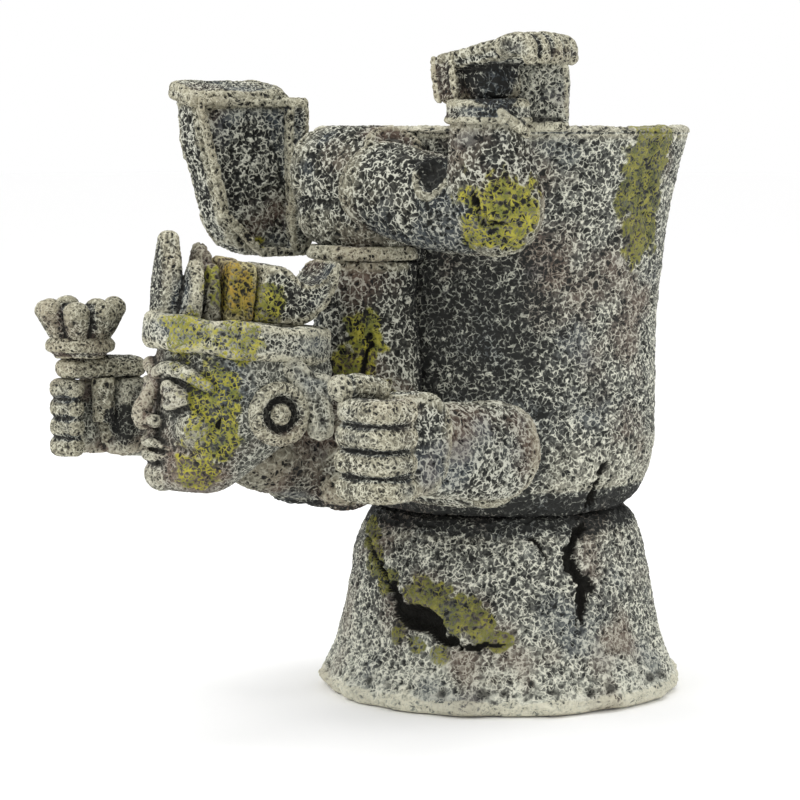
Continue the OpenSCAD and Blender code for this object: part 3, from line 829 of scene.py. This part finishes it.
def along(points, spacing):
    """Points evenly spaced along an open line of radius and height."""
    step = np.linalg.norm(np.diff(points, axis=0), axis=1)
    mark = np.concatenate([[0], np.cumsum(step)])
    where = np.linspace(0, mark[-1], int(mark[-1] / spacing) + 1)
    return np.stack([np.interp(where, mark, points[:, k]) for k in (0, 1)], axis=1)


BEAD = 3.0
bell_z = np.linspace(BEAD, WAIST_Z - 0.05, 90)
bead_angle = np.linspace(-math.pi / 2, 0, 12)
bead = np.stack([FOOT_R - BEAD + BEAD * np.cos(bead_angle), BEAD + BEAD * np.sin(bead_angle)], axis=1)
under = np.stack([np.linspace(1, FOOT_R - BEAD, 20), np.zeros(20)], axis=1)
side = np.stack([bell_radius(bell_z), bell_z], axis=1)
side[:, 0] += (FOOT_R - side[0, 0]) * np.exp(-(bell_z - BEAD) / 2.5)
top = np.array([[WAIST_R - 2, WAIST_Z - 0.05], [1, WAIST_Z - 0.05]])
bell = np.vstack([under, along(np.vstack([bead, side, top[:1]]), SIDE_MM), along(top, FLAT_MM)[1:]])


def rough_foot(places, normals):
    """The bead wanders in and out by up to a millimetre, and the flat underside stays put."""
    low = 1 - ramp(places[:, 2], 3.0, 9.0)
    wave = (smooth_noise(places, 8.0, 90) - 0.5) * 2.4 + (smooth_noise(places, 3.0, 91) - 0.5) * 1.2
    out = places * [1, 1, 0] / (np.linalg.norm(places[:, :2], axis=1)[:, None] + 1e-9)
    keep = ramp(np.linalg.norm(places[:, :2], axis=1), FOOT_R - 8, FOOT_R - 3)
    return places + out * (wave * low * keep - 0.6 * low * keep)[:, None]


finish_skin("pedestal", make_mesh("pedestal", [revolve(bell, PEDESTAL_AROUND)]), vessel, depth=0.5, lumps=0.7,
            stretch=(1, 1, 1.1), extra=rough_foot)

cup_z = WAIST_Z + (RIM_Z - LIP_H - WAIST_Z) * np.linspace(0, 1, 200) ** 1.3
outside = np.stack([cup_radius(cup_z), cup_z], axis=1)
lip_angle = np.linspace(0, math.pi, 9)
lip_r, lip_mid = WALL / 2 - 0.1, RIM_R - WALL / 2
lip = np.stack([lip_mid + lip_r * np.cos(lip_angle), RIM_Z - LIP_H + LIP_H * np.sin(lip_angle)], axis=1)
in_z = np.linspace(RIM_Z - 1.6, FLOOR_Z + 3, 60)
inside = np.stack([cup_radius(in_z) - WALL, in_z], axis=1)
inner_floor = np.array([[inside[-1, 0] - 3, FLOOR_Z], [1, FLOOR_Z]])
base = np.array([[1, WAIST_Z], [WAIST_R - 1, WAIST_Z]])
wall_line = np.vstack([along(base, FLAT_MM), along(outside, 0.62), lip, along(inside, 1.7), along(inner_floor, 2.5)])
finish_skin("cup", make_mesh("cup", [revolve(wall_line, CUP_AROUND)]), vessel, depth=0.45, lumps=0.6,
            stretch=(0.8, 0.8, 1.35))

# %% [markdown]
# ## Trunk
# The figure lies on its chest with its back to the cup. Chest, torso and hips are soft masses that lean into
# the wall, so each is a group of eggs or a stack of ovals, melted together.

# %% Trunk
def stack(rows, square=1.0, around=64, count=48):
    """Ovals on top of each other: each row gives x, y, z of the middle and the two half-widths."""
    line = smooth_path(rows, count)
    angle = np.linspace(0, 2 * math.pi, around, endpoint=False)
    return rings_to_surface(np.stack([
        line[:, :1] + np.abs(line[:, 3:4]) * power(np.cos(angle), square),
        line[:, 1:2] + np.abs(line[:, 4:5]) * power(np.sin(angle), square),
        line[:, 2:3] + 0 * angle], axis=-1))


cast("chest", [
    pebble((0, -48, 61), (21.5, 12.5, 11)), pebble((0, -59.5, 59.2), (15, 11, 9)),
    pebble((0, -39, 62), (23.4, 8, 11)), pebble((8.5, -61, 56.5), (7.5, 8, 6.5)),
    pebble((-8.5, -61, 56.5), (7.5, 8, 6.5)), pebble((0, -52, 66), (14, 12, 7))])
cast("torso", [stack([
    (0, -46, 68.5, 13.4, 11.4), (0, -46, 76, 13.6, 11.6), (0, -46.4, 84, 13.2, 11.6), (0, -46.4, 94, 12.4, 11),
    (0, -46, 102, 12.2, 10.8), (0, -46, 107, 12.6, 11)], 0.9)])
cast("belt", [stack([
    (0, -46, 107, 13.6, 11.8), (0, -46, 107.5, 14.5, 12.5), (0, -46, 108.6, 14.6, 12.6), (0, -46, 110.4, 13.6, 11.8)],
    0.9, 96, 16)])


def scoop(centre, half):
    """A broken scoop: points inside an egg move out to its surface, and those just past it rise as a lip."""
    def dent(places, normals):
        off = (places - centre) / half
        far = np.maximum(np.linalg.norm(off, axis=1), 1e-6)[:, None]
        pushed = centre + off / far * half
        lip = ramp(far, 1.0, 1.12) * (1 - ramp(far, 1.15, 1.45))
        return np.where(far < 1, pushed, places + normals * lip * 0.8)
    return dent


cast("hips", [
    pebble((0, -46, 117), (18.4, 12.6, 8.8), 0.9), pebble((0, -46, 126.5), (19, 13, 11.6), 0.85),
    pebble((7, -48, 120), (11, 10.5, 10)), pebble((-8, -46.6, 127), (10.5, 12, 11), 0.8)],
    extra=scoop(at("hips", 0.91, 0.3, 1.04), np.array([6.0, 8.0, 7.5])))
cast("neck", [limb([(0, -59, 60, 9.4, 9.2), (0, -68, 61.5, 9, 8.8), (0, -80, 64, 9.2, 8.6)])])

# %% [markdown]
# ## Head
# The head is one stack of egg-shaped rings for skull and jaw, and the features are added as small soft masses,
# the way a carver leaves them standing. The face is a calm mask of the maker's own: eyes half way up, nose a
# third of the face, closed lids. Fine lines, such as the lids and the mouth, are cut in afterwards.

# %% Head
def headed(surfaces):
    """Moves surfaces from the head's own frame into the row's frame."""
    return placed(surfaces, head_spin, HEAD)


def mirrored(side, rows):
    """Rows of numbers on the head's left side (1) or right side (-1): only the first number changes sign."""
    return [(side * row[0], *row[1:]) for row in rows]


def oval(z, half, front, back):
    """A row for stack: an oval from front to back at height z."""
    return 0, (front + back) / 2, z, half, (back - front) / 2


skull = stack([
    oval(-16.6, 4.5, -16.0, -5.0), oval(-15.2, 8.0, -18.4, -2.0), oval(-11.5, 11.2, -19.2, 2.0),
    oval(-6.0, 14.2, -19.2, 8.0), oval(0.0, 16.2, -19.4, 14.0), oval(6.0, 17.2, -20.0, 18.0),
    oval(12.0, 17.2, -20.4, 19.4), oval(17.0, 15.6, -19.0, 18.0), oval(20.5, 11.0, -14.0, 13.0)], 0.92, 96, 90)
features = [
    limb([(0, -19.6, 9.5, 1.6, 1.6), (0, -21.4, 5.0, 1.7, 1.8), (0, -23.2, 0.2, 2.2, 2.2),
          (0, -22.6, -2.2, 2.4, 1.8)], up=(0, 1, 0)),
    limb([(0, -20.0, -5.6, 1.6, 1.2), (0, -20.4, -4.0, 1.2, 1.0)], up=(0, 1, 0)),
    pebble((0, -16.8, -13.2), (5.6, 4.0, 3.8))]
BROW = [(1.5, -20.9, 9.2, 1.5, 1.5), (6.5, -20.2, 10.6, 1.9, 1.7), (11.5, -17.4, 10.0, 1.9, 1.6),
        (14.4, -13.2, 7.6, 1.4, 1.3)]
UPPER_LID = [(3.2, -19.6, 5.0, 0.9, 0.8), (7.2, -20.3, 7.2, 1.1, 0.9), (11.6, -17.4, 5.2, 0.9, 0.8)]
LOWER_LID = [(3.4, -19.3, 3.6, 0.8, 0.7), (7.2, -19.6, 2.0, 0.9, 0.7), (11.4, -17.0, 3.8, 0.8, 0.7)]
UPPER_LIP = [(0.2, -20.9, -6.6, 1.2, 1.1), (2.8, -20.6, -6.3, 1.2, 1.0), (6.2, -18.2, -7.6, 0.8, 0.6)]
LOWER_LIP = [(0.0, -20.5, -9.4, 1.2, 1.2), (2.6, -20.1, -9.4, 1.2, 1.2), (5.8, -18.0, -8.2, 0.8, 0.6)]
for side in (-1, 1):
    features += [
        limb(mirrored(side, BROW)), pebble((side * 7.4, -17.9, 4.8), (4.3, 3.0, 2.7)),
        limb(mirrored(side, UPPER_LID)), limb(mirrored(side, LOWER_LID)),
        pebble((side * 2.3, -21.0, -1.5), (1.9, 2.2, 1.6)), pebble((side * 9.2, -13.4, -2.0), (5.6, 4.8, 5.2)),
        limb(mirrored(side, UPPER_LIP)), limb(mirrored(side, LOWER_LIP))]

# Lines cut into the face: places in the head's frame, half-width, depth.
LINES = [[((-6.6, -18.6, -7.9), 0.5, 0.9), ((-2.5, -22.0, -8.0), 0.6, 1.2), ((2.5, -22.0, -8.0), 0.6, 1.2),
          ((6.6, -18.6, -7.9), 0.5, 0.9)]]
CLOSED_LID = [(3.6, -20.0, 4.2, 0.4, 0.6), (7.4, -21.2, 3.4, 0.5, 0.9), (11.4, -17.6, 4.4, 0.4, 0.6)]
LID_FOLD = [(3.4, -21.2, 8.0, 0.5, 0.6), (7.2, -21.6, 8.9, 0.5, 0.8), (12.2, -17.6, 7.4, 0.4, 0.6)]
NOSTRIL = [(2.0, -22.8, -3.4, 0.8, 1.2), (2.6, -21.6, -3.6, 0.7, 1.0)]
CHEEK_FOLD = [(4.9, -20.4, -0.8, 0.4, 0.6), (6.6, -18.8, -4.4, 0.5, 0.8), (7.8, -17.4, -7.4, 0.3, 0.5)]
for side in (-1, 1):
    for line in (CLOSED_LID, LID_FOLD, NOSTRIL, CHEEK_FOLD):
        LINES.append([(row[:3], *row[3:]) for row in mirrored(side, line)])


def engraved(places, normals):
    """Presses the face's lines in along the normals, deepest on each line and gone past its half-width."""
    return places - normals * cut_depth((places - HEAD) @ head_spin, LINES, 0.32, 1.6)[:, None]


cast("head", headed([skull] + features), rubbed,
     extra=engraved)

# %% [markdown]
# ## Headdress
# A flat band holds a row of stone feathers and blocks. Feathers are tapering limbs that are wide and thin, with a
# smaller one laid on the front one. The last block sweeps up into a horn with a hollow top.

# %% Headdress
BAND_Z, BAND_H = 14.6, 8.0
CROWN = BAND_Z + BAND_H


def feather(x, y, width, thick, height, lean=0.0):
    """An upright feather in the head's frame: wide and thin, narrowing to a rounded tip."""
    tilt = math.tan(math.radians(lean))
    levels = [(0.3, 0.48), (height * 0.3, 0.5), (height * 0.62, 0.42), (height * 0.88, 0.24)]
    return limb([(x, y - tilt * h, CROWN + h, width * share, thick / 2 * (1 - 0.35 * h / height))
                 for h, share in levels], up=(0, 1, 0), square=0.75)


BAND_AROUND = 260
band_angle = np.linspace(0, 2 * math.pi, BAND_AROUND, endpoint=False)[:, None]
band_wave = smooth_noise(np.stack([np.cos(band_angle[:, 0]) * 20, np.sin(band_angle[:, 0]) * 20,
                                   np.zeros(BAND_AROUND)], axis=1), 6.0, 70)[:, None]
edge_angle = np.linspace(0, 2 * math.pi, 28, endpoint=False)[None, :]
band_out = -2.6 + 2.9 * power(np.cos(edge_angle), 0.45) + (band_wave - 0.5) * 0.9
band_up = BAND_Z + BAND_H / 2 + (BAND_H / 2 + (band_wave - 0.5) * 0.8) * power(np.sin(edge_angle), 0.45)
band_grid = np.stack([(18.6 + band_out) * np.cos(band_angle), -2.8 + (21.4 + band_out) * np.sin(band_angle),
                      band_up], axis=-1)


def ring_surface(grid):
    """A closed ring from a grid whose rows run round the ring and whose columns run round its section."""
    rows, columns, _ = grid.shape
    index = np.arange(rows * columns).reshape(rows, columns)
    ahead = np.roll(index, -1, axis=0)
    quads = np.stack([index, ahead, np.roll(ahead, -1, axis=1), np.roll(index, -1, axis=1)], axis=-1)
    return grid.reshape(-1, 3), [quads.reshape(-1, 4)]


cast("headband", headed([ring_surface(band_grid)]))
cast("front_feather", headed([
    feather(-1, -19.8, 11, 6.4, 18.4, 4), feather(4.6, -16.4, 9.6, 4.6, 12.4, -3)]))
cast("rear_feather", headed([
    feather(-1.5, -12.6, 11.6, 6.0, 14.8, 0), feather(-3.2, -12.8, 7, 4.6, 16.6, 0),
    feather(3.4, -11.0, 7.4, 4.4, 12.0, 3)]))
cast("feather_block", headed([
    pebble((1, -5.6, CROWN + 6.2), (7.8, 3.3, 6.8), 0.28, around=56, stations=36),
    pebble((-3.8, -6.2, CROWN + 6.6), (2.8, 3.0, 7.0), 0.35),
    pebble((7.2, -7.6, CROWN + 5.8), (1.6, 1.3, 6.6), 0.5)]))


# The horned block's outline in its own YZ plane, front to back: a flat top, a hollow and a raised tip.
HORN = [(-2.0, 0), (-2.0, 12.8), (1.0, 13.2), (4.6, 12.8), (7.2, 10.8), (9.8, 9.6), (12.4, 10.0), (14.6, 12.2),
        (16.4, 15.6), (17.6, 15.2), (17.4, 10.4), (15.6, 5.6), (12.8, 2.2), (9.4, 0)]
horn = plate(HORN, 17.6, in_head((0, 0, CROWN)), head_spin @ turn(z=90), square=0.2, stations=36)
cast("horned_block", [horn])

# %% [markdown]
# ## Ear spools and straps
# Each ear carries a round spool: a thick ring, a sunken disc and a button. All three are one profile turned
# about the spool's own axis. A strap comes down from the band behind it.

# %% Ears
def spool(side):
    """The spool's profile turned about its axis: radius against height, where height points out of the ear."""
    profile = smooth_path([(0.3, -2.0), (5.2, -1.6), (7.0, 0.2), (6.9, 2.0), (5.6, 3.1), (4.3, 2.4), (3.9, 0.9),
                           (3.2, 0.5), (2.5, 0.9), (2.1, 2.3), (0.3, 3.0)], 60)
    angle = np.linspace(0, 2 * math.pi, 96, endpoint=False)
    grid = np.stack([profile[:, :1] * np.cos(angle), profile[:, :1] * np.sin(angle),
                     profile[:, 1:] + 0 * angle], axis=-1)
    return headed(placed([rings_to_surface(grid)], turn(y=90 * side), (side * 17.2, 2.4, 3.4)))


EAR_STRAP = [(15.8, 4.4, 14.4, 2.6, 1.8), (17.4, 7.4, 11.0, 2.8, 1.9), (18.6, 11.2, 5.6, 3.0, 2.0),
             (18.8, 12.4, 0.4, 2.8, 2.0)]
for side, name in ((1, "left"), (-1, "right")):
    cast(name + "_ear_spool", spool(side))
    cast(name + "_ear_strap", headed([
        limb(mirrored(side, EAR_STRAP), up=(side, 0, 0), square=0.8),
        pebble((side * 17.2, 10.8, 9.6), (2.2, 4.0, 3.6), 0.6)]), rubbed)

# %% [markdown]
# ## Arms
# The upper arms go straight out from the chest, the elbows rest beside the vessel's waist and the forearms point
# forward. Each forearm is a broad paddle: one oval carried from the elbow to the wrist.

# %% Arms
left_elbow, left_wrist = at("left_forearm", 0.5, 0.82, 0.46), at("left_forearm", 0.52, 0.04, 0.56)
right_elbow, right_wrist = at("right_forearm", 0.47, 0.82, 0.46), at("right_forearm", 0.6, 0.04, 0.58)
cast("left_upper_arm", [
    limb([(16, -49, 61, 8.6, 9.0), (28, -50, 61.2, 8.8, 9.2), (44, -51, 62.5, 8.6, 9.4)])])
cast("right_upper_arm", [
    limb([(-16, -49, 61, 8.6, 9.0), (-28, -49, 62, 8.4, 9.0), (-45, -47.5, 64, 8.2, 9.0)])])
cast("left_forearm", [
    limb([(*left_elbow, 8.2, 10.6), (*(left_elbow * 0.65 + left_wrist * 0.35), 8.4, 11.0),
          (*(left_elbow * 0.3 + left_wrist * 0.7), 8.0, 10.4), (*left_wrist, 7.4, 9.6)])])
cast("right_forearm", [
    limb([(*right_elbow, 8.2, 10.2), (*(right_elbow * 0.65 + right_wrist * 0.35), 8.0, 10.0),
          (*(right_elbow * 0.3 + right_wrist * 0.7), 7.4, 9.2), (*right_wrist, 6.8, 8.6)])])

# %% [markdown]
# ## Hands
# Each fist is a slab for the back of the hand, four fingers stacked like logs and a thumb on top. A finger is a
# tube that starts at the inner edge, crosses the front and bends round the outer corner to meet the slab.

# %% Left hand
# How much further back the tip of each finger ends, from the lowest up, in millimetres.
SET_BACK = (0.25, 0.0, 0.35, 0.9)


def stacked_fingers(node, thick, path):
    """Four tubes one above the other in a node's box. path gives each one's stations as fractions of the box
    along X and Y, and the gap between tubes stays dark because the wash never gets wiped out of it."""
    low, high = corners(node)
    pitch = (high[2] - low[2] - thick) / (len(SET_BACK) - 1)
    tubes = []
    for k, reach in enumerate(SET_BACK):
        z = low[2] + thick / 2 + k * pitch
        tubes.append(limb([(*at(node, u, v, 0)[:2] + np.array([reach if u < 0.2 else 0, 0]), z, width, thick / 2)
                           for u, v, width in path], square=0.8, around=28))
    return tubes


palm_half = extent("left_palm") / 2 + [0.2, 0.4, 0.2]
cast("left_palm", [pebble(middle("left_palm"), palm_half, 0.34, around=72, stations=48),
                   pebble(at("left_palm", 0.55, 0.9, 0.5), (6.6, 4.5, 10.2), 0.7)])
cast("left_fingers", stacked_fingers("left_fingers", 5.3, [
    (0.13, 0.34, 2.6), (0.3, 0.28, 2.9), (0.68, 0.26, 3.0), (0.84, 0.4, 3.0), (0.84, 0.95, 2.8)]))
cast("left_thumb", [
    limb([(*at("left_thumb", 0.4, 0.16, 0.48), 3.0, 2.4), (*at("left_thumb", 0.5, 0.5, 0.55), 3.4, 2.7),
          (*at("left_thumb", 0.6, 1.1, 0.35), 3.4, 2.6)]),
    pebble(at("left_thumb", 0.4, 0.1, 0.5), (3.3, 2.6, 2.9))])

# %% [markdown]
# The right fist stands on its side and holds a short sceptre: a peg under a collar, with seven petals on top.

# %% Right hand and sceptre
cast("right_palm", [
    pebble(at("right_palm", 0.58, 0.72, 0.5), (5.1, 4.3, 9.2), 0.4, around=56),
    pebble(at("right_palm", 0.14, 0.4, 0.5), (1.9, 6.8, 9.1), 0.5)], rubbed)
cast("right_fingers", stacked_fingers("right_fingers", 4.7, [
    (0.14, 0.9, 2.2), (0.2, 0.45, 2.5), (0.5, 0.42, 2.6), (0.8, 0.5, 2.4)]))
cast("right_thumb", [
    limb([(*at("right_thumb", 0.45, 0.08, 0.46), 4.4, 2.4), (*at("right_thumb", 0.5, 0.45, 0.5), 4.9, 2.7),
          (*at("right_thumb", 0.62, 0.98, 0.4), 4.9, 2.6)], square=0.8)])
peg_low, peg_high = corners("sceptre_peg")
peg_x, peg_y, _ = middle("sceptre_peg")
cast("sceptre_peg", [stack([(peg_x, peg_y, z, r, r) for z, r in (
    (peg_low[2], 2.2), (peg_low[2] + 1, 2.6), (peg_high[2] - 2, 2.7), (peg_high[2], 2.6))], 1, 40, 20)])
ring_x, ring_y, ring_z = middle("sceptre_collar")
cast("sceptre_collar", [stack([(ring_x, ring_y, ring_z + dz, r, r) for dz, r in (
    (-2.6, 5.6), (-1.4, 6.6), (-0.8, 7.8), (0.6, 8.2), (1.6, 7.6), (2.4, 6.6))], 1, 72, 30)])

PETALS, FIRST_PETAL = 7, 8.0
root = middle("sceptre_plume")
root[2] = corners("sceptre_plume")[0][2]
petals = [stack([(*(root + [0, 0, dz]), r, r) for dz, r in ((-0.8, 5.8), (3, 6.6), (6.6, 8.0))], 1, 40, 16)]
for k in range(PETALS):
    swing = math.radians(k * 360 / PETALS + FIRST_PETAL)
    out = np.array([math.cos(swing), math.sin(swing), 0])
    petals.append(limb([(*(root + out * 4.4 - [0, 0, 0.4]), 2.4, 2.2), (*(root + out * 6.4 + [0, 0, 2.8]), 2.9, 2.4),
                        (*(root + out * 8.2 + [0, 0, 6.2 + 0.7 * (k % 2)]), 3.1, 2.7)], up=(0, 0, 1)))
cast("sceptre_plume", petals)

# %% [markdown]
# ## Legs
# The legs swing over the head. The left knee is a smooth bend beside the cup's rim, under a round shin and a
# cuff. The right lower leg is a slab with a flat inner face, framed by a raised border.

# %% Legs
cast("left_thigh", [
    limb([(11, -51.5, 124, 11, 10.6), (22, -51, 122, 10.6, 10.8), (34, -50, 119.6, 10.2, 10.4),
          (43, -49, 119.5, 10, 10.2)])], extra=scoop(THIGH_SCOOP, np.array([4.4, 4.8, 8.0])))
cast("right_thigh", [
    limb([(-8, -42, 122.5, 10.4, 10.6), (-14, -40, 122, 10.2, 10.4), (-24, -32.5, 119.8, 9, 9.2),
          (-34, -27.5, 117.5, 8.2, 8.4)])])
shin_top = corners("left_shin")[1][2]
cast("left_shin", [
    pebble((44.5, -49, 119.8), (10.5, 10.6, 10.8)),
    stack([(44.5, -49, 116, 9.2, 9.4), (44.4, -49.6, 122, 10.3, 10.6), (44.4, -50.8, 129, 9.4, 9.8),
           (44.8, -52, 135, 8.5, 8.8), (45, -52.6, shin_top + 0.6, 8.3, 8.3)], 0.95)])

LEG_TURN = 15.0
LEG = np.array([-45.0, -44.0, 0.0])


def turned(surfaces):
    """Turns surfaces of the right lower leg and foot about the leg's upright axis, from the row's own directions
    to the way the leg faces."""
    return [((points - LEG) @ turn(z=-LEG_TURN).T + LEG, faces) for points, faces in surfaces]


cast("right_shin", turned([
    plate([(-60, 144), (-45, 144.6), (-30.8, 144.6), (-30, 130), (-29.8, 112), (-31.5, 107), (-37, 106.2),
           (-44.5, 106.6), (-50.5, 109.6), (-53.6, 115), (-56, 124), (-59, 134)], 13, (-45, 0, 0), turn(z=90),
          square=0.24, stations=40)]))


def border(outline, x, wide, thick):
    """A raised frame: a superellipse of the given width and thickness carried round an outline in a YZ plane.
    Across, its points move towards the outline's middle."""
    line = even_outline(outline, 200)
    inward = line.mean(axis=0) - line
    inward /= np.linalg.norm(inward, axis=1, keepdims=True)
    angle = np.linspace(0, 2 * math.pi, 24, endpoint=False)
    across = wide * (1 + power(np.cos(angle), 0.4)) / 2
    yz = line[:, None, :] + inward[:, None, :] * across[None, :, None]
    up = x + thick * power(np.sin(angle), 0.4) * np.ones((len(line), 1))
    return ring_surface(np.dstack([up, yz]))


cast("right_leg_panel", turned([
    border([(-60.4, 144.8), (-30.4, 144.8), (-29.4, 106.2), (-43, 106.2), (-54, 116)], -37.9, 2.4, 1.3),
    limb([(-37.8, -33.4, 143.0, 3.0, 1.9), (-37.8, -33.2, 125, 3.0, 2.0), (-37.8, -32.8, 108.6, 2.8, 1.9)],
         up=(1, 0, 0), square=0.5)]))

# %% [markdown]
# ## Sandals
# Each foot points away from the head, sole up. The sole is a slab on a wedge of foot, with five toes as short
# tubes. The left one has a cuff round the ankle, a strap, a heel strap and a square flap.

# %% Sandals
RISE, OUT, ROLL = 9.0, 85.0, 12.0
LEFT_FOOT, RIGHT_FOOT = (46.6, -51.0, 152.0), (-45, -49.7, 144.2)


def left_foot(surfaces):
    """Puts surfaces of a foot, drawn level at the origin with the toes along +Y, on the left leg, turned out."""
    return placed(surfaces, turn(x=RISE, z=-OUT), LEFT_FOOT)


def right_foot(surfaces):
    """Puts surfaces of a foot on the right leg, rolled a little towards the middle."""
    return turned(placed(surfaces, turn(y=ROLL), RIGHT_FOOT))


def sole(length):
    """The sole slab with a soft raised rim. The heel is always at the same place."""
    mid, half = (length - 25) / 2 - 1.5, (length - 3) / 2
    rim = [(6.5, mid - half + 1.5, 2.0, 1.0, 1.6), (6.7, mid, 2.2, 1.0, 1.6), (6.5, mid + half - 1.5, 2.2, 1.0, 1.5)]
    return [pebble((0, mid, 1.5), (7.1, half, 2.4), 0.32, around=72, stations=30), limb(rim)]


def toes(size, pitch, start):
    """Five short tubes side by side, the middle one longest, each bent down over the sole's end at its tip."""
    tubes = []
    for k in range(5):
        x, reach = (k - 2) * pitch, 0.8 * (2 - abs(k - 2))
        tubes.append(limb([
            (x, start - 1.6, 2.0, size * 0.8, size), (x, start + 2.2 + reach, 2.2, size * 0.86, size * 1.1),
            (x, start + 4.8 + reach, 0.9, size * 0.86, size * 1.2),
            (x, start + 5.6 + reach, -1.6, size * 0.8, size * 0.8)], square=0.9, around=28))
    return tubes


cast("left_sandal", left_foot(sole(25) + [pebble((0, -2.6, -3.6), (5.0, 5.6, 4.6), 0.5, around=56)]))
cast("right_sandal", right_foot(sole(27)))
cast("left_toes", left_foot(toes(2.1, 3.6, 8.5)))
cast("right_toes", right_foot(toes(1.7, 2.75, 8.5)))
cast("left_heel_strap", left_foot([
    pebble((0, -9.8, -1.9), (7.4, 3.3, 5.6), 0.36, around=56), pebble((7.2, -12.2, -2.0), (0.9, 0.9, 5.4), 0.6),
    pebble((7.2, -7.2, -2.0), (0.9, 0.9, 5.6), 0.6)]))

cuff = middle("left_ankle_cuff")
cuff[2] = corners("left_ankle_cuff")[0][2]
CUFF_PROFILE = [(-0.2, 8.4), (0.2, 9.5), (1.2, 9.6), (2.0, 9.0), (4.6, 9.0), (5.4, 8.0)]
STRAP_PATH = [(8.0, -4.6, 2.4, 1.1, 1.1), (9.0, -0.6, -0.2, 1.1, 1.2), (9.2, 2.6, -2.2, 1.1, 1.2)]
cast("left_ankle_cuff", [stack([(*(cuff + [0, 0, dz]), r, r) for dz, r in CUFF_PROFILE], 0.95, 72, 40),
                         limb([(*(cuff + row[:3]), *row[3:]) for row in STRAP_PATH])])

FLAP, FLAP_TURN = (49.5, -41.5, 144.9), 40.0
cast("left_sandal_flap", placed([
    pebble((0, 0.4, 0), (7.0, 3.1, 7.8), 0.2, around=72, stations=36),
    pebble((-6.0, -2.2, 0.2), (1.3, 2.2, 7.8), 0.5), pebble((0, -2.2, -7.0), (7.2, 2.2, 1.2), 0.5)],
    turn(z=FLAP_TURN), FLAP))
cast("right_sandal_flap", turned([
    pebble((-52.2, -50.5, 134.5), (2.8, 6.4, 6.4), 0.5), pebble((-53.4, -54.0, 138.0), (2.2, 3.4, 3.0)),
    pebble((-53.0, -48.0, 130.0), (2.4, 3.4, 3.6))]))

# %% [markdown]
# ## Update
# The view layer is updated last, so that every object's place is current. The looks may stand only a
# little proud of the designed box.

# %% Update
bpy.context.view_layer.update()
